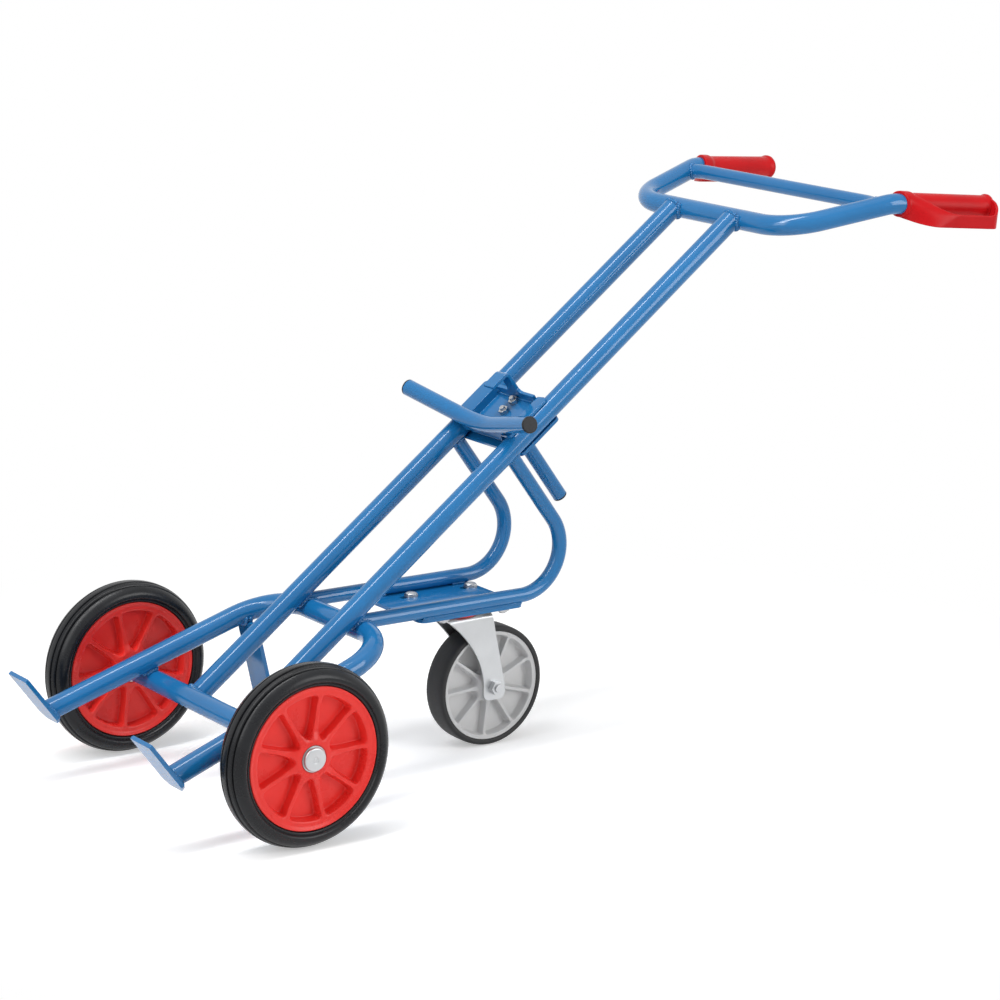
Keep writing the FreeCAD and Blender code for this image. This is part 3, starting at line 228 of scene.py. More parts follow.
blue_coat = surface("gloss_blue_coat", blue_in_shade, blue_in_light, patch=90, rough=(0.09, 0.14),
                    grain=5.0, depth=0.005, scuffs=0.05, shine=0.42)
axle_tube = (axle, across, tube_radius * mm)
axle_tube_ends = [Vector((axle_tube_low.x, axle.y, axle.z)), Vector((axle_tube_high.x, axle.y, axle.z))]
fitted("axle_cross_tube", bent_tube(axle_tube_ends, [], tube_radius, tube_radius - axle_bore_radius),
       blue_coat, "frame", ["axle_tube"])


# Main tubes: two long straight tubes side by side. Each is sawn to a saddle on the axle tube below and
# on the crossbar of the handle above, and welded there.
hands = (("left", -1), ("right", 1))
main_half_gap = 67.2
main_slope = math.radians(37.6)
main_setback = 12.4
main_length = 1050.0
main_wall = 2.5
crossbar_station = 1058.0
crossbar_setback = 9.0
up_main = Vector((0, math.cos(main_slope), math.sin(main_slope)))
off_main = Vector((0, -math.sin(main_slope), math.cos(main_slope)))
main_origin = axle - off_main * (main_setback * mm)


def on_main(aside, along, off):
    """Point across, up along and off the front of the main tubes, in millimetres."""
    return main_origin + (across * aside + up_main * along + off_main * off) * mm


crossbar_middle = on_main(0, crossbar_station, -crossbar_setback)
crossbar = (crossbar_middle, across, tube_radius * mm)
main_tubes = {}
for hand, side in hands:
    ends = [on_main(side * main_half_gap, 0, 0), on_main(side * main_half_gap, main_length, 0)]
    main_tubes[hand] = (ends[0], up_main, tube_radius * mm)
    fitted("main_tube_" + hand + "_drawn",
           bent_tube(ends, [], tube_radius, main_wall, [axle_tube], [crossbar]),
           blue_coat, "frame", ["main_tube_" + hand])


# Lower bow: one tube bent cold to a U. Its two arms lie on the axle tube, its cross part lies under the
# main tubes, and its ends are cut square to the toe plates.
bow_reach = 218.0
bow_toe_half = 168.0
bow_corner_half = 148.0
bow_bend = 80.0
bow_wall = 2.5
toe_drop = 140.0
weld_gap = 0.2
bow_cross = on_main(0, bow_reach, -2 * tube_radius - weld_gap)
axle_clear = (2 * tube_radius + weld_gap) * mm
to_cross = bow_cross - axle
bow_angle = math.atan2(to_cross.z, to_cross.y) - math.asin(axle_clear / to_cross.length)
along_bow = Vector((0, math.cos(bow_angle), math.sin(bow_angle)))
off_bow = Vector((0, -math.sin(bow_angle), math.cos(bow_angle)))
bow_origin = axle + off_bow * axle_clear
cross_run = (bow_cross - bow_origin).dot(along_bow) / mm
bow_lean = (bow_toe_half - bow_corner_half) / (cross_run + toe_drop)


def bow_half(along):
    """Half the distance between the bow's arms, a way along from the axle, in millimetres."""
    return bow_corner_half + bow_lean * (cross_run - along)


def on_bow(aside, along):
    """Point across and along the bow, in millimetres from the axle."""
    return bow_origin + (across * aside + along_bow * along) * mm


toe_face = on_main(0, -toe_drop + weld_gap, 0)
toe_run = (toe_face - bow_origin).dot(up_main) / along_bow.dot(up_main) / mm
bow_spots = [on_bow(-bow_half(toe_run), toe_run), on_bow(-bow_corner_half, cross_run),
             on_bow(bow_corner_half, cross_run), on_bow(bow_half(toe_run), toe_run)]
bow_shape = bent_tube(bow_spots, [bow_bend, bow_bend], tube_radius, bow_wall)
for corner in bow_shape.verts:
    aside = -1 if corner.co.x < 0 else 1
    arm = on_bow(aside * bow_half(toe_run), toe_run) - on_bow(aside * bow_half(0), 0)
    past_toe = (corner.co - toe_face).dot(up_main)
    if past_toe < tube_radius * mm:
        corner.co -= arm * (past_toe / arm.dot(up_main))
bow_tree = BVHTree.FromBMesh(bow_shape)
fitted("lower_bow_bent", bow_shape, blue_coat, "frame", ["lower_bow"])


# Toe plates and foot step: flat steel bar, sheared to length, with the heels of the toes clipped. All
# their edges are slightly rounded by rolling, shearing and the coat that builds up on them.
plate_round = 0.9
rounding_steps = 3
merge_reach = 0.00002
flat_angle = math.radians(0.5)
crisp_angle = math.radians(30)


def softened(name, node, width, finish, body):
    """Piece for a CAD node with its sharp edges rounded off."""
    shape = bmesh.new()
    shape.from_mesh(nodes[node].data)
    bmesh.ops.remove_doubles(shape, verts=shape.verts, dist=merge_reach)
    bmesh.ops.dissolve_limit(shape, angle_limit=flat_angle, verts=shape.verts, edges=shape.edges)
    sharp = [edge for edge in shape.edges
             if len(edge.link_faces) == 2 and edge.calc_face_angle() > crisp_angle]
    bmesh.ops.bevel(shape, geom=sharp, offset=width * mm, offset_type="OFFSET",
                    segments=rounding_steps, profile=0.5, affect="EDGES", clamp_overlap=True)
    made = fitted(name, shape, finish, body, [node], crisp=60)
    even = made.modifiers.new("even_shading", "WEIGHTED_NORMAL")
    even.keep_sharp = True


for hand, side in hands:
    softened(hand + "_toe", "toe_plate_" + hand, plate_round, blue_coat, "frame")
softened("tipping_step", "foot_step", plate_round, blue_coat, "frame")


# Side loops: two lighter tubes with one bend each. They leave the main tubes square, turn level and run
# forward to the bow, so that they carry the castor and stop the carriage.
loop_radius = 10.65
loop_wall = 2.0
loop_station = 549.5
loop_bend = 66.0
plate_low, plate_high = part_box("castor_plate")
loop_level = plate_high.z + (weld_gap + loop_radius) * mm
loop_head = on_main(0, loop_station, 0)
loop_drop = (loop_level - loop_head.z) / off_main.z
bow_cross_tube = (bow_cross, across, tube_radius * mm)
loop_front = bow_cross.y + tube_radius * mm
for hand, side in hands:
    aside = across * (side * main_half_gap * mm)
    loop_spots = [loop_head + aside - off_main * (tube_radius * mm),
                  loop_head + aside + off_main * loop_drop,
                  Vector((0, loop_front, loop_level)) + aside]
    fitted("side_loop_" + hand + "_bent",
           bent_tube(loop_spots, [loop_bend], loop_radius, loop_wall,
                     [main_tubes[hand]], [main_tubes[hand], bow_cross_tube]),
           blue_coat, "frame", ["side_loop_" + hand])


# Castor plate: flat steel with rounded corners and four slots, welded under both loops. The slots let
# the castor be shifted before its bolts are drawn up.
softened("slotted_castor_plate", "castor_plate", plate_round, blue_coat, "frame")


# Handle: one tube bent to a splayed U, whose ends turn down a little into the grips. A lighter bent
# tube braces its two arms just ahead of the grips.
handle_half = 173.2
handle_bend = 78.0
handle_wall = 2.5
arm_length = 168.0
arm_splay = math.radians(17.7)
arm_rise = math.radians(12.2)
grip_splay = math.radians(7.4)
grip_drop = math.radians(4.1)
wrist_bend = 62.0
tube_past_wrist = 166.9
brace_radius = 11.0
brace_wall = 2.0
brace_run = 146.0
brace_stub = 28.0
brace_bend = 50.0


def splayed(side, splay, rise):
    """Direction to the rear, turned out to one side and up."""
    return Vector((side * math.sin(splay), math.cos(splay) * math.cos(rise),
                   math.cos(splay) * math.sin(rise)))


arm_ways = {side: splayed(side, arm_splay, arm_rise) for hand, side in hands}
grip_ways = {side: splayed(side, grip_splay, -grip_drop) for hand, side in hands}
elbows = {side: crossbar_middle + across * (side * handle_half * mm) for hand, side in hands}
wrists = {side: elbows[side] + arm_ways[side] * (arm_length * mm) for hand, side in hands}
tube_ends = {side: wrists[side] + grip_ways[side] * (tube_past_wrist * mm) for hand, side in hands}
handle_spots = [tube_ends[-1], wrists[-1], elbows[-1], elbows[1], wrists[1], tube_ends[1]]
handle_bends = [wrist_bend, handle_bend, handle_bend, wrist_bend]
fitted("handle_frame_bent", bent_tube(handle_spots, handle_bends, tube_radius, handle_wall),
       blue_coat, "frame", ["handle_frame"])
arm_tubes = {side: (elbows[side], arm_ways[side], tube_radius * mm) for hand, side in hands}
brace_ways = {}
brace_knees = {}
brace_ends = {}
for hand, side in hands:
    inward = across * -side
    brace_ways[side] = (inward - arm_ways[side] * inward.dot(arm_ways[side])).normalized()
    brace_knees[side] = (elbows[side] + arm_ways[side] * (brace_run * mm)
                         + brace_ways[side] * (brace_stub * mm))
    brace_ends[side] = brace_knees[side] - brace_ways[side] * ((brace_stub - tube_radius) * mm)
fitted("handle_brace_bent",
       bent_tube([brace_ends[-1], brace_knees[-1], brace_knees[1], brace_ends[1]],
                 [brace_bend, brace_bend], brace_radius, brace_wall, [arm_tubes[-1]], [arm_tubes[1]]),
       blue_coat, "frame", ["handle_brace"])


# Weld beads of the frame: laid by hand in one pass round each joint, with the ripples of the moving
# torch, and coated together with the tubes.
bead_radius = 3.6
slim_bead = 2.2
plate_bead = 2.4
lip_bead = 3.2
root_bead = 3.9
bead_pitch = 2.9
bead_step = 0.72
bead_facets = 10
bead_taper = 1.5
bead_tip = 0.04
ripple_height = 0.23
ripple_lag = 1.3
seam_points = 72


def bead(shape, spots, lean, radius=bead_radius, closed=False):
    """Lay one bead along a line. Lean is a direction that is never in line with the seam."""
    line = list(spots) + ([spots[0]] if closed else [])
    lengths = [0.0]
    for here, there in zip(line, line[1:]):
        lengths.append(lengths[-1] + (there - here).length)
    total = lengths[-1]
    steps = max(4, round(total / (bead_step * mm)))
    ripples = max(1, round(total / (bead_pitch * mm)))
    rings = []
    piece = 0
    for step in range(steps if closed else steps + 1):
        reach = total * step / steps
        while piece < len(line) - 2 and lengths[piece + 1] < reach:
            piece += 1
        chord = line[piece + 1] - line[piece]
        spot = line[piece] + chord * ((reach - lengths[piece]) / chord.length)
        ahead = chord.normalized()
        upright = (lean - ahead * lean.dot(ahead)).normalized()
        aside = ahead.cross(upright)
        taper = 1.0
        if not closed:
            to_end = min(reach, total - reach) / (bead_taper * radius * mm)
            taper = math.sqrt(max(bead_tip, 1 - max(0.0, 1 - to_end) ** 2))
        ring = []
        for turn in full_turn(bead_facets):
            wave = math.sin(math.tau * ripples * reach / total - ripple_lag * math.cos(turn))
            swell = radius * mm * taper * (1 + ripple_height * wave)
            outward = upright * math.cos(turn) + aside * math.sin(turn)
            ring.append(shape.verts.new(spot + outward * swell))
        rings.append(ring)
    skinned(shape, rings, round_again=closed, capped=not closed)


def seam_round(spot, way, radius, tubes):
    """Line on which the end of a round tube meets other tubes, open where it misses them."""
    cross = way.orthogonal().normalized()
    found = []
    for turn in full_turn(seam_points):
        start = spot + Quaternion(way, turn) @ cross * (radius * mm)
        run = first_hit(start, way, tubes)
        found.append(None if run is None else start + way * run)
    if None not in found:
        return found, True
    gap = max(index for index in range(seam_points)
              if found[index] is None and found[(index + 1) % seam_points] is not None)
    turned = found[gap + 1:] + found[:gap + 1]
    return [point for point in turned if point is not None], False


def contact_ring(spot, lower_way, upper_way, radius, lift):
    """Seam round the place where one tube lies across another; lift points to the upper one."""
    ring = []
    for turn in full_turn(seam_points):
        along_lower = radius * math.cos(turn)
        along_upper = radius * math.sin(turn)
        rise = (along_lower ** 2 - along_upper ** 2) / (4 * tube_radius)
        ring.append(spot + (lower_way * along_lower + upper_way * along_upper + lift * rise) * mm)
    return ring


def welded(name, shape, body):
    """Piece made of beads, coated like the tubes."""
    bmesh.ops.recalc_face_normals(shape, faces=shape.faces)
    fitted(name, shape, blue_coat, body, [], crisp=80)


lying_ring = 8.5
foot_search = 60.0
beads = bmesh.new()
for hand, side in hands:
    foot_start = on_main(side * main_half_gap, foot_search, 0)
    foot_line, foot_closed = seam_round(foot_start, -up_main, tube_radius, [axle_tube])
    bead(beads, foot_line, up_main, closed=foot_closed)
    under_main = on_main(side * main_half_gap, bow_reach, -tube_radius - weld_gap / 2)
    bead(beads, contact_ring(under_main, across, up_main, lying_ring, off_main), off_main, closed=True)
    on_axle = (axle + off_bow * ((tube_radius + weld_gap / 2) * mm)
               + across * (side * bow_half(0) * mm))
    bead(beads, contact_ring(on_axle, across, along_bow, lying_ring, off_bow), off_bow, closed=True)
    arm_end = on_bow(side * bow_half(toe_run), toe_run)
    arm = (arm_end - on_bow(side * bow_half(0), 0)).normalized()
    cross = arm.orthogonal().normalized()
    ellipse = []
    for turn in full_turn(seam_points):
        point = arm_end + Quaternion(arm, turn) @ cross * (tube_radius * mm)
        ellipse.append(point - arm * ((point - toe_face).dot(up_main) / arm.dot(up_main)))
    bead(beads, ellipse, up_main, closed=True)
welded("lower_frame_welds", beads, "frame")

step_lean = math.radians(14)
step_down = Vector((0, math.sin(step_lean), -math.cos(step_lean)))
step_face = Vector((0, -math.cos(step_lean), -math.sin(step_lean)))
step_head = Vector((-166.0, 141.0, 193.0)) * mm + Vector((0, axle.y, 0))
step_width = 50.0
step_thick = 6.0
step_search = 60.0
step_reach = 90.0
beads = bmesh.new()
for depth in (0.0, step_thick):
    line = []
    for index in range(seam_points + 1):
        start = step_head + across * (step_width * index / seam_points * mm) - step_face * (depth * mm)
        hit = bow_tree.ray_cast(start + step_down * (step_search * mm), -step_down)
        if hit[0] is not None and hit[3] < step_reach * mm:
            line.append(hit[0])
    bead(beads, line, step_down)
welded("step_welds", beads, "frame")

loop_search = 80.0
front_search = 60.0
seam_rise = 1.4
seam_aside = 6.2
seam_inset = 4.0
stitch_inset = 8.0
stitch_length = 24.0
upward = Vector((0, 0, 1))
to_front = Vector((0, -1, 0))
seam_level = plate_high.z + seam_rise * mm
beads = bmesh.new()
for hand, side in hands:
    loop_top = on_main(side * main_half_gap, loop_station, -loop_search)
    loop_line, loop_closed = seam_round(loop_top, off_main, loop_radius, [main_tubes[hand]])
    bead(beads, loop_line, off_main, slim_bead, loop_closed)
    loop_end = Vector((side * main_half_gap * mm, loop_front + front_search * mm, loop_level))
    front_line, front_closed = seam_round(loop_end, to_front, loop_radius,
                                          [main_tubes[hand], bow_cross_tube])
    bead(beads, front_line, -to_front, slim_bead, front_closed)
    inner_x = side * (main_half_gap - seam_aside) * mm
    outer_x = side * (main_half_gap + seam_aside) * mm
    for start in (plate_low.y + stitch_inset * mm,
                  plate_high.y - (stitch_inset + stitch_length) * mm):
        stitch = [Vector((inner_x, start, seam_level)),
                  Vector((inner_x, start + stitch_length * mm, seam_level))]
        bead(beads, stitch, upward, slim_bead)
    outer_seam = [Vector((outer_x, plate_low.y + seam_inset * mm, seam_level)),
                  Vector((outer_x, plate_high.y - seam_inset * mm, seam_level))]
    bead(beads, outer_seam, upward, plate_bead)
welded("loop_welds", beads, "frame")

head_search = 90.0
lip_points = 36
lip_start = math.radians(24)
lip_end = math.radians(156)
lip_middle = tube_radius - main_wall / 2
root_half = 13
root_step = 2
root_sink = 0.4
root_off = 6.6
beads = bmesh.new()
for hand, side in hands:
    head_start = on_main(side * main_half_gap, main_length - head_search, 0)
    head_line, head_closed = seam_round(head_start, up_main, tube_radius, [crossbar])
    bead(beads, head_line, up_main, closed=head_closed)
    lip = []
    for index in range(lip_points + 1):
        turn = lip_start + (lip_end - lip_start) * index / lip_points
        lip.append(on_main(side * main_half_gap + lip_middle * math.cos(turn), main_length,
                           lip_middle * math.sin(turn)))
    bead(beads, lip, up_main, lip_bead)
    root = [on_main(side * main_half_gap + aside, main_length - root_sink, root_off)
            for aside in range(-root_half, root_half + 1, root_step)]
    bead(beads, root, up_main, root_bead)
    brace_line, brace_closed = seam_round(brace_knees[side], -brace_ways[side], brace_radius,
                                          [arm_tubes[side]])
    bead(beads, brace_line, brace_ways[side], slim_bead, brace_closed)
welded("handle_welds", beads, "frame")


# Grips: soft red sleeves moulded in one piece with a guard that shields the hand, pushed and glued on
# the ends of the handle tube. The mouth is slanted, and the guard leaves the collar in a double curve.
grip_start = 12.0
grip_sleeve = ((15.1, -6.0), (17.4, -6.0), (18.5, -5.6), (19.1, -4.6), (19.2, -3.4), (19.2, 9.0),
               (18.9, 11.6), (18.2, 14.2), (17.5, 16.4), (17.1, 18.4), (17.0, 21.0), (17.0, 60.0),
               (17.0, 100.0), (17.0, 140.0), (17.0, 149.6), (17.3, 151.6), (18.2, 153.2),
               (18.8, 154.4), (19.0, 155.6), (19.0, 157.4), (18.7, 159.0), (18.0, 160.2),
               (16.8, 160.8), (15.0, 161.0), (9.0, 161.0), (0.5, 161.0))
grip_turns = 72
collar_radius = 19.2
mouth_slant = math.tan(math.radians(17))
mouth_fade = 34.0
guard_root = -3.0
guard_low_run = 54.0
guard_high_run = 86.0
guard_reach = 42.0
guard_corner = 18.0
guard_close = 159.0
guard_thick = 4.0
guard_edge = 0.8
guard_sink = 0.2
guard_foot = -27.0
guard_top = -9.0
guard_foot_rise = 13.0
guard_end_rise = 24.0
guard_columns = 14
sweep_steps = 48
straight_steps = 12
corner_steps = 20
close_steps = 10
wrap_low = math.radians(-88)
wrap_high = math.radians(72)
red_grip_skin = surface("grained_red_grip", (0.47, 0.005, 0.008), (0.55, 0.007, 0.010), patch=50,
                        rough=(0.30, 0.40), grain=1.1, depth=0.03, scuffs=0.10, shine=0.14)


def held(part):
    """Number kept between 0 and 1."""
    return min(1.0, max(0.0, part))


def eased(part):
    """Smooth step from 0 to 1."""
    part = held(part)
    return part * part * (3 - 2 * part)


def wrap_left(along, share):
    """How far a strand of the guard still hugs the collar.

    The lower edge, at share 0, leaves the collar at once, and the upper edge, at share 1, in an S.
    """
    part = held((along - guard_root) / (guard_low_run + (guard_high_run - guard_low_run) * share))
    at_once = 1 - (1 - part) ** 2
    return 1 - at_once - (eased(part) - at_once) * share


def guard_line():
    """Stations of the guard: out, along, outward way in plan and the heights of its foot and top."""
    straight_start = guard_root + guard_high_run
    straight_end = guard_close - guard_corner
    turn_steps = corner_steps + close_steps
    line = []
    for step in range(sweep_steps + 1):
        along = guard_root + guard_high_run * step / sweep_steps
        line.append((guard_reach, along, 1.0, 0.0, guard_foot, guard_top))
    for step in range(1, straight_steps + 1):
        along = straight_start + (straight_end - straight_start) * step / straight_steps
        line.append((guard_reach, along, 1.0, 0.0, guard_foot, guard_top))
    for step in range(1, corner_steps + 1):
        turn = math.pi / 2 * step / corner_steps
        line.append((guard_reach - guard_corner * (1 - math.cos(turn)),
                     straight_end + guard_corner * math.sin(turn), math.cos(turn), math.sin(turn),
                     guard_foot, guard_top + guard_end_rise * eased(step / turn_steps)))
    for step in range(1, close_steps + 1):
        line.append(((guard_reach - guard_corner) * (1 - step / close_steps), guard_close, 0.0, 1.0,
                     guard_foot + guard_foot_rise * eased(step / close_steps),
                     guard_top + guard_end_rise * eased((corner_steps + step) / turn_steps)))
    return line


def guard_band(out, along, outward, foot, top):
    """Section of the guard at one station: outer face, top edge, inner face and bottom edge."""
    face = []
    for step in range(guard_columns + 1):
        share = step / guard_columns
        wrap = wrap_left(along, share)
        turn = wrap_low + (wrap_high - wrap_low) * share
        round_way = Vector((math.cos(turn), 0, math.sin(turn)))
        slant = mouth_slant * (collar_radius * math.cos(turn) + collar_radius)
        hugging = round_way * (collar_radius - guard_sink) + Vector((0, along + slant * wrap, 0))
        standing = Vector((out, along, foot + (top - foot) * share))
        face.append((hugging * wrap + standing * (1 - wrap),
                     (round_way * wrap + outward * (1 - wrap)).normalized()))

    def edge(last, before, depths):
        """Rounded edge past the last point of the face."""
        past = last[0] + (last[0] - before[0]).normalized() * guard_edge
        return [past - last[1] * depth for depth in depths]

    near, far = guard_edge, guard_thick - guard_edge
    return ([spot for spot, way in face] + edge(face[-1], face[-2], (near, far))
            + [spot - way * guard_thick for spot, way in reversed(face)]
            + edge(face[0], face[1], (far, near)))


def grip_shape(side):
    """Sleeve and guard of one grip, out to its own side, along the tube and up."""
    shape = bmesh.new()
    sleeve = []
    for radius, along in grip_sleeve:
        ring = []
        for turn in full_turn(grip_turns):
            out = radius * math.cos(turn)
            slant = mouth_slant * (out + collar_radius) * held(1 - along / mouth_fade)
            spot = Vector((side * out, along + slant, radius * math.sin(turn)))
            ring.append(shape.verts.new(spot * mm))
        sleeve.append(ring)
    skinned(shape, sleeve)
    shape.faces.new(sleeve[-1])
    bands = []
    for out, along, out_way, along_way, foot, top in guard_line():
        band = guard_band(out, along, Vector((out_way, along_way, 0)), foot, top)
        bands.append([shape.verts.new(Vector((side * spot.x, spot.y, spot.z)) * mm) for spot in band])
    skinned(shape, bands, capped=True)
    bmesh.ops.recalc_face_normals(shape, faces=shape.faces)
    return shape


for hand, side in hands:
    way = grip_ways[side]
    out = way.cross(upward).normalized()
    turn = Matrix((out, way, out.cross(way))).transposed().to_4x4()
    place = Matrix.Translation(wrists[side] + way * (grip_start * mm)) @ turn
    fitted(hand + "_grip", grip_shape(side), red_grip_skin, "frame", ["grip_" + hand],
           place, crisp=45)


# Axle rod: a turned steel rod, pushed through the axle tube and both hubs.
# Only its ends stand in the wheels, under the caps.
turned_steel = surface("turned_steel", (0.42, 0.42, 0.43), (0.50, 0.50, 0.50), patch=30,
                       rough=(0.22, 0.30), grain=0.6, depth=0.01, metal=1.0)


def dress(finish, *names):
    """Give CAD nodes their finish."""
    for name in names:
        nodes[name].data.materials.clear()
        nodes[name].data.materials.append(finish)


dress(turned_steel, "axle_rod")


# Hub bushes: turned from cream nylon and pressed into the rims, so that the wheels run on the rod.
# Only their end faces show, behind the washers.
cream_nylon = surface("cream_nylon", (0.70, 0.66, 0.56), (0.76, 0.72, 0.62), patch=20,
                      rough=(0.35, 0.45), grain=1.0, depth=0.01)
dress(cream_nylon, "hub_bush_left", "hub_bush_right", "castor_bush")


# Rims of the main wheels: injection moulded in red plastic, with a flat lip, nine ribs that flare into
# the lip and into a star round the hub, and pockets with rounded corners between them on both sides.
rim_ribs = 9
rim_phases = {"left": math.radians(7.2), "right": math.radians(12.6)}
rim_face = (20.0, 92.0)
rim_pocket = (26.0, 86.0, 7.0)
rim_rib = (2.4, 3.6, 30.0)
rim_floor = 4.5
rim_seat = (94.0, 18.5)
rim_bore = (15.1, 18.2)
hub_face = 21.6
rim_levels = ((0.0, hub_face), (22.0, hub_face), (40.0, 16.8), (68.0, 16.4), (88.0, 19.4), (92.0, 20.0))
rim_lip_profile = ((92.0, 20.0), (94.0, 20.6), (95.4, 21.4), (96.2, 21.9), (97.0, 22.0), (97.7, 21.7),
                   (98.0, 21.0), (98.0, 18.5), rim_seat)
rim_hub_profile = ((20.0, hub_face), (19.2, hub_face), (18.6, 21.0), (18.6, 19.0), (15.9, 19.0),
                   rim_bore)
pocket_wall = ((0.0, 0.0), (0.25, 0.02), (0.5, 0.07), (0.8, 0.18), (1.1, 0.34), (1.4, 0.50), (1.7, 0.66),
               (2.0, 0.80), (2.4, 0.91), (2.9, 0.97), (3.6, 0.995), (4.4, 1.0), (7.0, 1.0))
pocket_middle = 0.53
halvings = 22
hub_points, rib_points, lip_arc_points = 12, 40, 36
rim_turns = rim_ribs * lip_arc_points
hub_turns = rim_ribs * hub_points
red_moulding = surface("red_moulding", (0.78, 0.032, 0.026), (0.85, 0.040, 0.032), patch=60,
                       rough=(0.24, 0.34), grain=2.4, depth=0.01, scuffs=0.08, shine=0.25)


def level_of(levels, radius):
    """Height at a radius, from pairs of radius and height."""
    for (near, low), (far, high) in zip(levels, levels[1:]):
        if radius <= far:
            return low + (high - low) * eased((radius - near) / (far - near))
    return levels[-1][1]


def soft_least(first, second, width):
    """Smaller of two numbers, rounded off where they are close."""
    part = max(width - abs(first - second), 0.0) / width
    return min(first, second) - part * part * width / 4


def ribbed_face(shape, phase, radii, pocket, rib, levels, floor, up):
    """One side of a moulded wheel rim: ribs, lip and hub on top, and a rounded pocket between ribs.

    Radii are the hub's and the lip's edge, pocket is its inner and outer radius and the rounding of
    its corners, rib is its half width and how much and how far out it spreads at the hub.
    """
    hub, lip = radii
    inner, outer, rounding = pocket
    slim, star, star_run = rib
    half = math.pi / rim_ribs

    def inside(spot):
        """Distance from the edge of the pocket, positive inside it."""
        radius = spot.length
        turn = abs(math.atan2(spot.y, spot.x))
        broad = slim + star * max(0.0, 1 - (radius - inner) / star_run) ** 2
        to_rib = radius * math.sin(max(0.0, half - turn)) - broad
        to_ring = soft_least(radius - inner, outer - radius, rounding)
        return soft_least(to_rib, to_ring, rounding)

    def polar(radius, turn):
        """Point at a radius and an angle."""
        return Vector((radius * math.cos(turn), radius * math.sin(turn)))

    middle = Vector(((inner + outer) * pocket_middle, 0))
    border = []
    for step in range(rib_points):
        border.append(polar(hub, -half).lerp(polar(lip, -half), step / rib_points))
    for step in range(lip_arc_points):
        border.append(polar(lip, half * (2 * step / lip_arc_points - 1)))
    for step in range(rib_points):
        border.append(polar(lip, half).lerp(polar(hub, half), step / rib_points))
    for step in range(hub_points):
        border.append(polar(hub, half * (1 - 2 * step / hub_points)))

    def on_level(target, edge):
        """Point between the middle of the pocket and the border where the distance has a value."""
        near, far = 0.0, 1.0
        for halving in range(halvings):
            part = (near + far) / 2
            if inside(middle.lerp(edge, part)) > target:
                near = part
            else:
                far = part
        return middle.lerp(edge, (near + far) / 2)

    lines = [[on_level(target, spot) for spot in border] for target, share in pocket_wall]
    for sector in range(rim_ribs):
        turned = Matrix.Rotation(phase + 2 * half * sector, 2)

        def lay(spot, share):
            """Point of this sector, a share of the way down from the top to the floor."""
            flat = turned @ spot
            top = level_of(levels, spot.length)
            return shape.verts.new(Vector((flat.x, flat.y, up * (top + (floor - top) * share))) * mm)

        loops = [[lay(spot, 0.0) for spot in border]]
        loops.append([lay(edge.lerp(spot, 0.5), 0.0) for edge, spot in zip(lines[0], border)])
        for line, (target, share) in zip(lines, pocket_wall):
            loops.append([lay(spot, share) for spot in line])
        skinned(shape, loops)
        centre = lay(middle, 1.0)
        for index in range(len(border)):
            shape.faces.new((loops[-1][index], loops[-1][(index + 1) % len(border)], centre))


def lathed(shape, profile, turns, up=1, closed=False):
    """Turn a profile of radius and height round the Z axis."""
    rings = []
    for radius, height in profile:
        spots = [Vector((radius * math.cos(turn), radius * math.sin(turn), up * height))
                 for turn in full_turn(turns)]
        rings.append([shape.verts.new(spot * mm) for spot in spots])
    skinned(shape, rings, closed)


def sealed(shape):
    """Close the seams of a shape and turn its faces outward."""
    bmesh.ops.remove_doubles(shape, verts=shape.verts, dist=merge_reach)
    bmesh.ops.recalc_face_normals(shape, faces=shape.faces)
    return shape


def moulded_rim(phase, face, pocket, rib, levels, floor, lip_profile, hub_profile):
    """Whole rim: both ribbed faces, lips and hub ends, the seat of the tyre and the bore."""
    shape = bmesh.new()
    for up in (1, -1):
        ribbed_face(shape, phase, face, pocket, rib, levels, floor, up)
        lathed(shape, lip_profile, rim_turns, up)
        lathed(shape, hub_profile, hub_turns, up)
    for (radius, height), turns in ((lip_profile[-1], rim_turns), (hub_profile[-1], hub_turns)):
        lathed(shape, ((radius, height), (radius, -height)), turns)
    return sealed(shape)


wheel_centres = {}
wheel_places = {}
for hand, side in hands:
    tyre_low, tyre_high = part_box("tyre_" + hand)
    wheel_centres[hand] = (tyre_low + tyre_high) / 2
    outward = Vector((side, 0, 0))
    turn = Matrix((upward, outward.cross(upward), outward)).transposed().to_4x4()
    wheel_places[hand] = Matrix.Translation(wheel_centres[hand]) @ turn
    rim = moulded_rim(rim_phases[hand], rim_face, rim_pocket, rim_rib, rim_levels, rim_floor,
                      rim_lip_profile, rim_hub_profile)
    fitted("moulded_rim_" + hand, rim, red_moulding, hand + "_wheel", ["rim_" + hand],
           wheel_places[hand], crisp=60)


# Tyres: solid black rubber, moulded on the rim. A raised bead runs beside the rim, the shoulder is
# broad and round, and three plain rings with grooves between them make the tread.
tyre_turns = 180
tyre_half = ((94.1, 18.4), (98.2, 18.4), (98.9, 18.7), (99.2, 19.6), (99.1, 21.0), (99.3, 21.8),
             (99.9, 22.5), (100.8, 22.9), (101.7, 22.8), (102.3, 22.2), (102.9, 22.3), (103.4, 23.0),
             (103.9, 24.2), (104.9, 25.2), (106.2, 25.8), (107.6, 26.0), (109.2, 25.9), (110.8, 25.5),
             (112.6, 24.7), (114.4, 23.5), (116.2, 21.9), (117.7, 20.2), (118.9, 18.6), (119.7, 17.4),
             (120.0, 16.6), (119.6, 16.2), (118.4, 16.0), (117.9, 15.4), (117.9, 14.2), (118.3, 13.7),
             (119.6, 13.5), (121.6, 13.3), (122.2, 12.9), (122.6, 12.0), (123.3, 10.2), (123.9, 8.7),
             (123.7, 8.1), (122.6, 7.9), (121.9, 7.4), (121.7, 6.5), (121.9, 5.7), (122.6, 5.3),
             (124.2, 5.1), (124.8, 4.5), (125.0, 3.0), (125.0, 0.0))
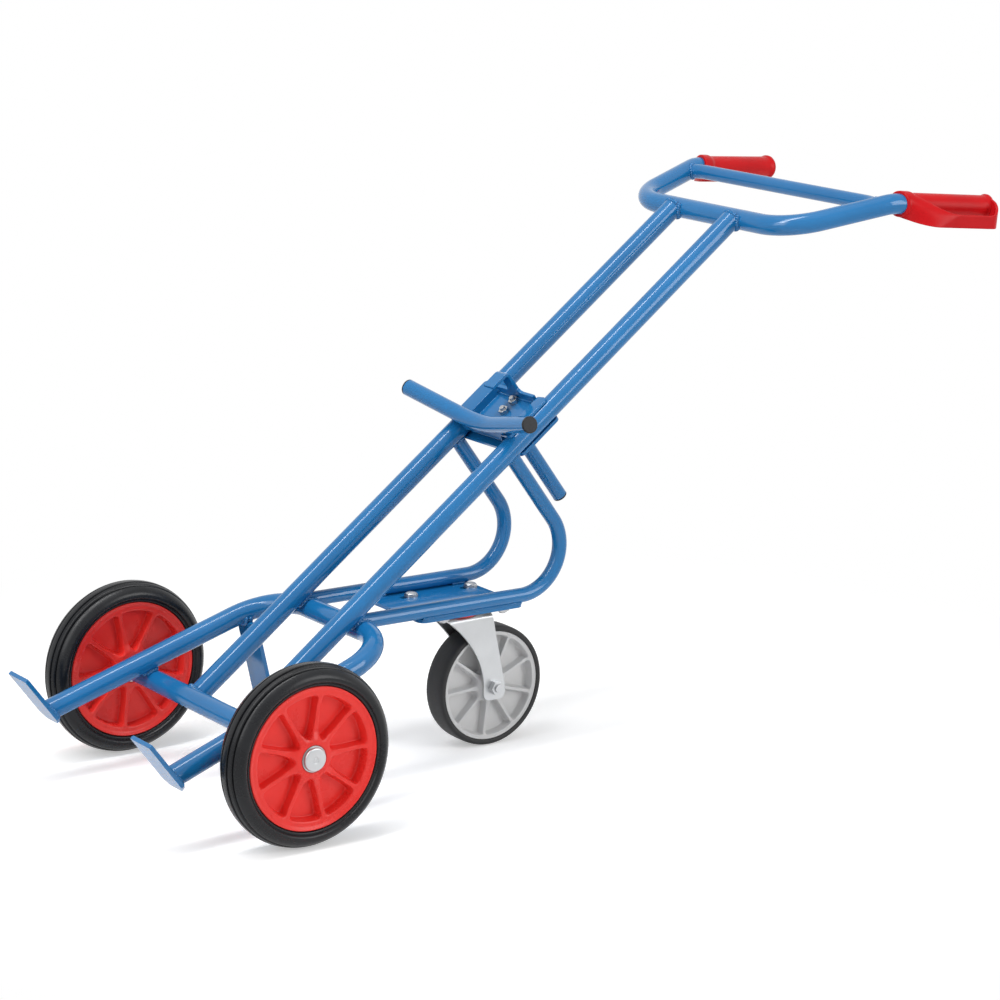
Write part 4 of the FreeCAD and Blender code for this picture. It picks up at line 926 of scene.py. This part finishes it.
black_rubber = surface("black_tyre_rubber", (0.0075, 0.0082, 0.0098), (0.0125, 0.0134, 0.0158), patch=50,
                       rough=(0.22, 0.32), grain=1.6, depth=0.015, scuffs=0.12, shine=0.25)


def rubber_ring(half):
    """Shape of a tyre from one half of its section, in radius and height."""
    shape = bmesh.new()
    section = list(half) + [(radius, -height) for radius, height in reversed(half[:-1])]
    lathed(shape, section, tyre_turns, closed=True)
    return sealed(shape)


for hand, side in hands:
    fitted("solid_tyre_" + hand, rubber_ring(tyre_half), black_rubber, hand + "_wheel",
           ["tyre_" + hand], wheel_places[hand])


# Washers and axle caps: stamped steel, zinc plated. The washers run beside the hubs, and the caps are
# pushed on the ends of the rod and hold the wheels; each has a small dimple in its middle.
cap_bore = 10.1
cap_turns = 96
cap_edge = ((0.4, 0.0), (0.0, 0.4))
cap_dome = ((0.0, 3.0), (0.2, 1.9), (0.7, 0.8), (1.5, 0.2), (2.4, 0.0))
cap_dimple = ((4.6, 0.0), (4.2, 0.2), (3.6, 1.1), (2.8, 1.3), (1.8, 0.9), (0.9, 0.7), (0.0, 0.65))
cap_roof = 1.5
bright_zinc = surface("bright_zinc_plate", (0.47, 0.48, 0.49), (0.52, 0.53, 0.54), patch=45,
                      rough=(0.30, 0.40), grain=1.6, depth=0.008, metal=1.0, scuffs=0.06)
dress(bright_zinc, "wheel_washers")
for hand, side in hands:
    cap_low, cap_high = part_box("axle_cap_" + hand)
    cap_radius = (cap_high.z - cap_low.z) / 2 / mm
    top = (cap_high.x - cap_low.x) / mm
    seat = side * ((cap_low if side > 0 else cap_high).x - wheel_centres[hand].x)
    profile = [(cap_bore, 0.0)] + [(cap_radius - inset, height) for inset, height in cap_edge]
    profile += [(cap_radius - inset, top - drop) for inset, drop in cap_dome]
    profile += [(radius, top - drop) for radius, drop in cap_dimple]
    profile += [(0.0, top - cap_roof), (cap_bore, top - cap_roof)]
    shape = bmesh.new()
    lathed(shape, profile, cap_turns, closed=True)
    fitted(hand + "_axle_cap", sealed(shape), bright_zinc, hand + "_wheel", ["axle_cap_" + hand],
           wheel_places[hand] @ Matrix.Translation((0, 0, seat)), crisp=40)


# Castor top: a pressed steel plate with the race and the kingpin of the swivel riveted to it, zinc
# plated and held to the slotted plate by four bolts with washers and nuts.
bolt_low, bolt_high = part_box("castor_bolts")
swivel_middle = (bolt_low + bolt_high) / 2
bolt_aside = 40.0
bolt_ahead = 52.5
bolt_radius = 5.0
bolt_flat = 8.5
bolt_chamfer = 0.8
bolt_tip = bolt_low.z / mm
washer_thick = 2.0
pressed_round = 0.8
nut_round = 0.6
bolt_head = plate_high.z / mm + washer_thick
bolt_turns = 48
bolt_rings = ((0.4, bolt_tip, False), (bolt_radius - bolt_chamfer, bolt_tip, False),
              (bolt_radius, bolt_tip + bolt_chamfer, False), (bolt_radius, bolt_head, False),
              (bolt_flat, bolt_head, True), (bolt_flat, bolt_head + 2.0, True),
              (bolt_flat, bolt_head + 2.8, False), (7.6, bolt_head + 3.7, False),
              (5.6, bolt_head + 4.4, False), (3.0, bolt_head + 4.8, False),
              (0.4, bolt_head + 4.9, False))
dress(bright_zinc, "castor_race", "castor_kingpin", "castor_bolt_washers", "castor_sleeve")
softened("pressed_top_plate", "castor_top_plate", pressed_round, bright_zinc, "frame")
shape = bmesh.new()
for aside in (-bolt_aside, bolt_aside):
    for ahead in (-bolt_ahead, bolt_ahead):
        middle = Vector((aside * mm, swivel_middle.y + ahead * mm, 0))
        rings = []
        for reach, level, six_sided in bolt_rings:
            ring = []
            for turn in full_turn(bolt_turns):
                from_flat = (turn % (math.pi / 3)) - math.pi / 6
                radius = reach / math.cos(from_flat) if six_sided else reach
                spot = Vector((radius * math.cos(turn), radius * math.sin(turn), level))
                ring.append(shape.verts.new(middle + spot * mm))
            rings.append(ring)
        skinned(shape, rings, capped=True)
fitted("plate_bolts", sealed(shape), bright_zinc, "frame", ["castor_bolts"], crisp=40)
softened("plate_nuts", "castor_bolt_nuts", nut_round, bright_zinc, "frame")


# Castor fork: pressed from one zinc plated sheet, with the crown under the race and two legs to the
# axle, each with a crease along its front. A red plastic ring closes the bearing.
swivel_y = swivel_middle.y / mm
fork_half = 25.3
fork_crown = 201.0
fork_fold = 6.0
fork_skin = 2.0
fork_edge = 1.2
fork_inset = 0.8
seal_round = 0.6
foot_level = 71.0
foot_corner = 9.0
axle_level = 90.0
axle_trail = 52.0
foot_half = 19.0
front_sweep = 0.00556
back_slope = 26.0 / 113.0
crease_start = 37.0
crease_slope = 0.30
crease_fold = 0.042
crease_fade = 30.0
fold_steps = 8
leg_steps = 24
fork_columns = 12


def fork_edges(level):
    """Front and back edge of a leg at a level, from the swivel."""
    above = max(0.0, level - axle_level)
    front = axle_trail - foot_half - front_sweep * above ** 2
    back = axle_trail + foot_half - back_slope * above
    under = max(0.0, foot_corner - (level - foot_level))
    trim = foot_corner - math.sqrt(max(0.0, foot_corner ** 2 - under ** 2))
    return front + trim, back - trim


def fork_line():
    """Stations of the strip: spot and outward way, from the right foot over the crown to the left."""
    leg_levels = [foot_level + foot_corner * (1 - math.cos(math.pi / 2 * step / fold_steps))
                  for step in range(fold_steps + 1)]
    leg_foot = leg_levels[-1]
    leg_top = fork_crown - fork_fold
    leg_levels += [leg_foot + (leg_top - leg_foot) * step / leg_steps
                   for step in range(1, leg_steps + 1)]
    right = [(fork_half, level, 1.0, 0.0) for level in leg_levels]
    for step in range(1, fold_steps + 1):
        turn = math.pi / 2 * step / fold_steps
        right.append((fork_half - fork_fold * (1 - math.cos(turn)), leg_top + fork_fold * math.sin(turn),
                      math.cos(turn), math.sin(turn)))
    return right + [(-aside, level, -out, up) for aside, level, out, up in reversed(right)]


shape = bmesh.new()
rings = []
for aside, level, out, up in fork_line():
    front, back = fork_edges(level)
    crease = crease_start - crease_slope * (level - axle_level)
    fold = crease_fold * abs(out) * held((fork_crown - level) / crease_fade)
    width = back - front - 2 * fork_inset
    columns = [front + fork_inset + width * step / fork_columns for step in range(fork_columns + 1)]
    section = [(spot, fork_skin) for spot in columns] + [(back, fork_edge), (back, -fork_edge)]
    section += [(spot, -fork_skin) for spot in reversed(columns)]
    section += [(front, -fork_edge), (front, fork_edge)]
    ring = []
    for spot, skin in section:
        bulge = fold * max(0.0, crease - spot)
        ring.append(shape.verts.new(Vector((aside + out * (skin + bulge), swivel_y + spot,
                                            level + up * skin)) * mm))
    rings.append(ring)
skinned(shape, rings, capped=True)
fitted("pressed_fork", sealed(shape), bright_zinc, "castor_swivel", ["castor_fork"], crisp=25)
softened("bearing_seal", "castor_seal", seal_round, red_moulding, "castor_swivel")
softened("castor_axle_bolt", "castor_axle", nut_round, bright_zinc, "castor_swivel")
softened("castor_axle_hex", "castor_axle_nut", nut_round, bright_zinc, "castor_swivel")


# Castor wheel: a light grey moulded rim with nine slim ribs, and a dark grey rubber tread on it.
# It turns on a sleeve that the axle bolt clamps between the legs.
castor_phase = math.radians(-6)
castor_face = (16.0, 78.0)
castor_pocket = (23.0, 75.5, 4.0)
castor_rib = (1.8, 2.2, 14.0)
castor_floor = 3.5
castor_levels = ((0.0, 23.0), (18.0, 23.0), (23.0, 17.0), (30.0, 15.0), (70.0, 14.8), (77.0, 17.2),
                 (78.0, 17.4))
castor_lip_profile = ((78.0, 17.4), (79.4, 18.2), (80.2, 18.5), (80.8, 18.2), (81.0, 17.6))
castor_hub_profile = ((16.0, 23.0), (11.9, 23.0), (11.1, 22.2))
tread_half = ((81.1, 18.0), (81.4, 19.2), (82.2, 19.8), (83.6, 20.3), (85.0, 20.5), (86.4, 20.3),
              (87.7, 19.6), (88.7, 18.4), (89.3, 16.6), (89.7, 13.6), (89.93, 9.0), (90.0, 4.0),
              (90.0, 0.0))
# The grey is set lighter than the rim's own grey. This is painted light that makes up for the shade the
# plate and loops cast on the castor.
grey_moulding_painted_light = surface("grey_moulding_painted_light", (0.58, 0.58, 0.58), (0.63, 0.63, 0.63), patch=50,
                        rough=(0.36, 0.46), grain=2.4, depth=0.01, scuffs=0.06, shine=0.3)
tread_rubber = surface("grey_tread_rubber", (0.022, 0.022, 0.023), (0.030, 0.030, 0.031), patch=40,
                       rough=(0.50, 0.62), grain=1.5, depth=0.03, scuffs=0.10, shine=0.3)
tread_low, tread_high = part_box("castor_tread")
castor_facing = Matrix((upward, across.cross(upward), across)).transposed().to_4x4()
castor_place = Matrix.Translation((tread_low + tread_high) / 2) @ castor_facing
castor_rim = moulded_rim(castor_phase, castor_face, castor_pocket, castor_rib, castor_levels,
                         castor_floor, castor_lip_profile, castor_hub_profile)
fitted("castor_wheel_rim", castor_rim, grey_moulding_painted_light, "castor_wheel", ["castor_rim"],
       castor_place, crisp=60)
fitted("castor_wheel_tread", rubber_ring(tread_half), tread_rubber, "castor_wheel",
       ["castor_tread"], castor_place)


# Carriage: a folded hat-section trough that rides on the main tubes, with a hook folded from sheet and
# welded in, all blue like the frame. A clamp plate behind the tubes holds it on.
carriage_low = 560.5
carriage_length = 81.0
carriage_high = carriage_low + carriage_length
trough_sheet = 4.0
trough_half = 49.0
trough_floor = 5.0
flange_half = 74.0
flange_face = 19.35
flange_corner = 7.0
flange_back = flange_face - trough_sheet
flange_inner = trough_half - trough_sheet
fold_outer = 4.5
fold_inner = 1.0
back_edge_round = 0.6
front_edge_round = 1.0
hat_back = ((flange_half, flange_back, back_edge_round), (trough_half, flange_back, fold_inner),
            (trough_half, trough_floor - trough_sheet, fold_outer))
hat_front = ((flange_half, flange_face, front_edge_round), (flange_inner, flange_face, fold_outer),
             (flange_inner, trough_floor, fold_inner))
end_steps = (0.0, 0.3, 1.0, 2.2, 4.0, 7.0)
run_parts = 8
fold_points = 6


def rounded_outline(corners):
    """Closed outline with its corners rounded, from points that each carry their radius."""
    line = []
    count = len(corners)
    for index, (aside, off, radius) in enumerate(corners):
        here = Vector((aside, off))
        before = (Vector(corners[index - 1][:2]) - here).normalized()
        behind = (Vector(corners[(index + 1) % count][:2]) - here).normalized()
        half = before.angle(behind) / 2
        centre = here + (before + behind).normalized() * (radius / math.sin(half))
        first = here + before * (radius / math.tan(half)) - centre
        last = here + behind * (radius / math.tan(half)) - centre
        for step in range(fold_points + 1):
            line.append(centre + first.slerp(last, step / fold_points))
    return line


def mirrored(points):
    """The same points on the other side."""
    return tuple((-point[0], *point[1:]) for point in points)


hat_line = rounded_outline(mirrored(hat_back) + hat_back[::-1] + hat_front + mirrored(hat_front[::-1]))
stations = [carriage_low + step for step in end_steps] + [carriage_high - step for step in end_steps]
stations += [carriage_low + carriage_length * part / run_parts for part in range(1, run_parts)]
shape = bmesh.new()
rings = []
for station in sorted(stations):
    from_end = min(station - carriage_low, carriage_high - station)
    under = max(0.0, flange_corner - from_end)
    widest = flange_half - (flange_corner - math.sqrt(max(0.0, flange_corner ** 2 - under ** 2)))
    rings.append([shape.verts.new(on_main(max(-widest, min(widest, spot.x)), station, spot.y))
                  for spot in hat_line])
skinned(shape, rings, capped=True)
bmesh.ops.recalc_face_normals(shape, faces=shape.faces)
fitted("hat_trough", shape, blue_coat, "carriage", ["carriage_trough"], crisp=40)
softened("folded_hook", "rim_hook", pressed_round, blue_coat, "carriage")
softened("rear_clamp_plate", "clamp_plate", plate_round, blue_coat, "carriage")


# Cradle and pull tube: the cradle is bent to a shallow V and welded on the flanges, to steady what the
# hook holds. The pull tube stands out behind the clamp plate. Both are closed with black plugs.
cradle_radius = 12.0
cradle_wall = 2.0
cradle_half = 147.0
cradle_spread = math.radians(14.5)
cradle_bend = 180.0
cradle_from_low = 4.0
cradle_station = carriage_low + cradle_from_low
cradle_dip = (flange_face + weld_gap + cradle_radius / math.cos(cradle_spread)
              - flange_inner * math.tan(cradle_spread))
cradle_end = cradle_dip + cradle_half * math.tan(cradle_spread)
cradle_spots = [on_main(-cradle_half, cradle_station, cradle_end),
                on_main(0, cradle_station, cradle_dip),
                on_main(cradle_half, cradle_station, cradle_end)]
fitted("cradle_tube_bent", bent_tube(cradle_spots, [cradle_bend], cradle_radius, cradle_wall),
       blue_coat, "carriage", ["cradle_tube"])

pull_radius = 10.65
pull_wall = 2.0
pull_from_low = 47.0
pull_station = carriage_low + pull_from_low
pull_tip = -164.0
clamp_back = -20.35
pull_spots = [on_main(0, pull_station, clamp_back - weld_gap), on_main(0, pull_station, pull_tip)]
fitted("pull_tube_cut", bent_tube(pull_spots, [], pull_radius, pull_wall),
       blue_coat, "carriage", ["pull_tube"])

hook_from_high = 5.0
hook_station = carriage_high - hook_from_high
hook_half_seam = ((flange_inner - 0.6, 13.0), (flange_inner - 0.6, trough_floor + 2.0),
                  (flange_inner - 2.6, trough_floor + 0.6))
hook_middle = ((0.0, trough_floor + 0.6),)
cradle_seam = ((flange_inner + 1.0, cradle_station + 6.5, flange_face + 1.0),
               (flange_inner + 20.0, cradle_station + 5.0, flange_face + 1.4))
pull_seam_off = clamp_back - 0.6
beads = bmesh.new()
hook_seam = mirrored(hook_half_seam) + hook_middle + hook_half_seam[::-1]
bead(beads, [on_main(aside, hook_station, off) for aside, off in hook_seam], up_main, slim_bead)
for seam in (mirrored(cradle_seam), cradle_seam):
    bead(beads, [on_main(*spot) for spot in seam], off_main, plate_bead)
pull_seam = [on_main(pull_radius * math.cos(turn), pull_station + pull_radius * math.sin(turn),
                     pull_seam_off) for turn in full_turn(seam_points)]
bead(beads, pull_seam, off_main, plate_bead, closed=True)
welded("carriage_welds", beads, "carriage")

plug_round = 0.5
black_plug = surface("black_plug_plastic", (0.008, 0.009, 0.011), (0.013, 0.014, 0.017), patch=20,
                     rough=(0.34, 0.44), grain=0.8, depth=0.03, shine=0.25)
for hand, side in hands:
    softened(hand + "_cradle_plug", "cradle_cap_" + hand, plug_round, black_plug, "carriage")
softened("pull_plug", "pull_cap", plug_round, black_plug, "carriage")


# Carriage fasteners: zinc plated studs with nuts, which draw the clamp plate to the trough over
# spacers, so that the carriage still slides.
stud_round = 0.4
clamp_nut_round = 0.5
dress(bright_zinc, "carriage_spacers")
softened("clamp_studs", "carriage_studs", stud_round, bright_zinc, "carriage")
softened("clamp_nuts", "carriage_nuts", clamp_nut_round, bright_zinc, "carriage")


# Studio: a pale floor that runs out to white, a white backdrop and soft lamps.
# The floor keeps the shadow near the trolley and fades to plain white further out.
floor_half = 9.0
floor_colour = (0.86, 0.86, 0.86, 1.0)
floor_lift = (0.38, 0.38, 0.38, 1.0)
plain_white = (1.0, 1.0, 1.0, 1.0)
fade_from = 0.55
fade_to = 1.15
ambient_strength = 0.32


def seen_straight(tree):
    """Socket that is 1 for rays from the camera, also after a mirror or through something clear."""
    rays = added(tree, "LightPath")
    found = rays.outputs["Is Camera Ray"]
    for kind in ("Is Glossy Ray", "Is Transmission Ray"):
        either = added(tree, "Math")
        either.operation = "MAXIMUM"
        tree.links.new(found, either.inputs[0])
        tree.links.new(rays.outputs[kind], either.inputs[1])
        found = either.outputs["Value"]
    return found


def mixed(tree, share, first, second):
    """Mix of two shaders by a share."""
    made = added(tree, "MixShader")
    tree.links.new(share, made.inputs["Fac"])
    tree.links.new(first, made.inputs[1])
    tree.links.new(second, made.inputs[2])
    return made.outputs["Shader"]


floor_mesh = bpy.data.meshes.new("studio_floor")
floor_mesh.from_pydata([(-floor_half, -floor_half, 0), (floor_half, -floor_half, 0),
                        (floor_half, floor_half, 0), (-floor_half, floor_half, 0)], [], [(0, 1, 2, 3)])
floor = bpy.data.objects.new("studio_floor", floor_mesh)
bpy.context.scene.collection.objects.link(floor)
floor_paint = bpy.data.materials.new("pale_floor")
floor_paint.use_nodes = True
tree = floor_paint.node_tree
tree.nodes.clear()
matte = added(tree, "BsdfDiffuse", Color=floor_colour).outputs["BSDF"]
lift = added(tree, "Emission", Color=floor_lift).outputs["Emission"]
white = added(tree, "Emission", Color=plain_white).outputs["Emission"]
lifted = added(tree, "AddShader")
tree.links.new(matte, lifted.inputs[0])
tree.links.new(lift, lifted.inputs[1])
away = added(tree, "VectorMath")
away.operation = "LENGTH"
tree.links.new(added(tree, "TexCoord").outputs["Object"], away.inputs[0])
fade = added(tree, "MapRange", From_Min=fade_from, From_Max=fade_to)
fade.interpolation_type = "SMOOTHSTEP"
tree.links.new(away.outputs["Value"], fade.inputs["Value"])
seen_floor = mixed(tree, fade.outputs["Result"], lifted.outputs["Shader"], white)
whole_floor = mixed(tree, seen_straight(tree), matte, seen_floor)
tree.links.new(whole_floor, added(tree, "OutputMaterial").inputs["Surface"])
floor_mesh.materials.append(floor_paint)

backdrop = bpy.data.worlds.new("studio_white")
backdrop.use_nodes = True
bpy.context.scene.world = backdrop
tree = backdrop.node_tree
tree.nodes.clear()
ambient = added(tree, "Background", Color=plain_white, Strength=ambient_strength).outputs["Background"]
white = added(tree, "Background", Color=plain_white, Strength=1.0).outputs["Background"]
whole_backdrop = mixed(tree, seen_straight(tree), ambient, white)
tree.links.new(whole_backdrop, added(tree, "OutputWorld").inputs["Surface"])


def softbox(name, spot, aim, width, height, power):
    """Soft rectangular lamp that looks at a point; metres and watts."""
    lamp = bpy.data.lights.new(name, "AREA")
    lamp.shape = "RECTANGLE"
    lamp.size = width
    lamp.size_y = height
    lamp.energy = power
    stand = bpy.data.objects.new(name, lamp)
    stand.location = spot
    stand.rotation_mode = "QUATERNION"
    stand.rotation_quaternion = (Vector(aim) - Vector(spot)).to_track_quat("-Z", "Y")
    bpy.context.scene.collection.objects.link(stand)


softbox("top_softbox", spot=(0.3, -0.2, 3.6), aim=(0, 0, 0.3), width=3.0, height=3.0, power=14.0)
softbox("top_strip", spot=(0.2, -1.2, 3.0), aim=(0, 0, 0.4), width=0.40, height=3.0, power=52.0)
softbox("left_softbox", spot=(0.6, -3.6, 2.2), aim=(0, 0, 0.4), width=1.6, height=2.4, power=40.0)
softbox("right_softbox", spot=(3.4, 1.8, 1.9), aim=(0, 0, 0.4), width=1.8, height=2.4, power=68.0)


# Camera: fitted to the photograph, measured from the middle of the axle.
# It looks down a little on the trolley from its front right, through a long lens.
camera_azimuth = math.radians(53.50)
camera_elevation = math.radians(13.44)
camera_roll = math.radians(1.60)
camera_from_axle = Vector((3.4832, -2.0961, 1.2714))
lens = bpy.data.cameras.new("photo_camera")
lens.sensor_width = 36.0
lens.lens = 111.28
lens.clip_start = 0.1
lens.clip_end = 60.0
camera = bpy.data.objects.new("photo_camera", lens)
back = Vector((math.sin(camera_azimuth) * math.cos(camera_elevation),
               -math.cos(camera_azimuth) * math.cos(camera_elevation), math.sin(camera_elevation)))
camera.location = axle + camera_from_axle
camera.rotation_mode = "QUATERNION"
camera.rotation_quaternion = (-back).to_track_quat("-Z", "Y") @ Quaternion((0, 0, 1), camera_roll)
bpy.context.scene.collection.objects.link(camera)
bpy.context.scene.camera = camera
bpy.context.scene.view_settings.view_transform = "Standard"
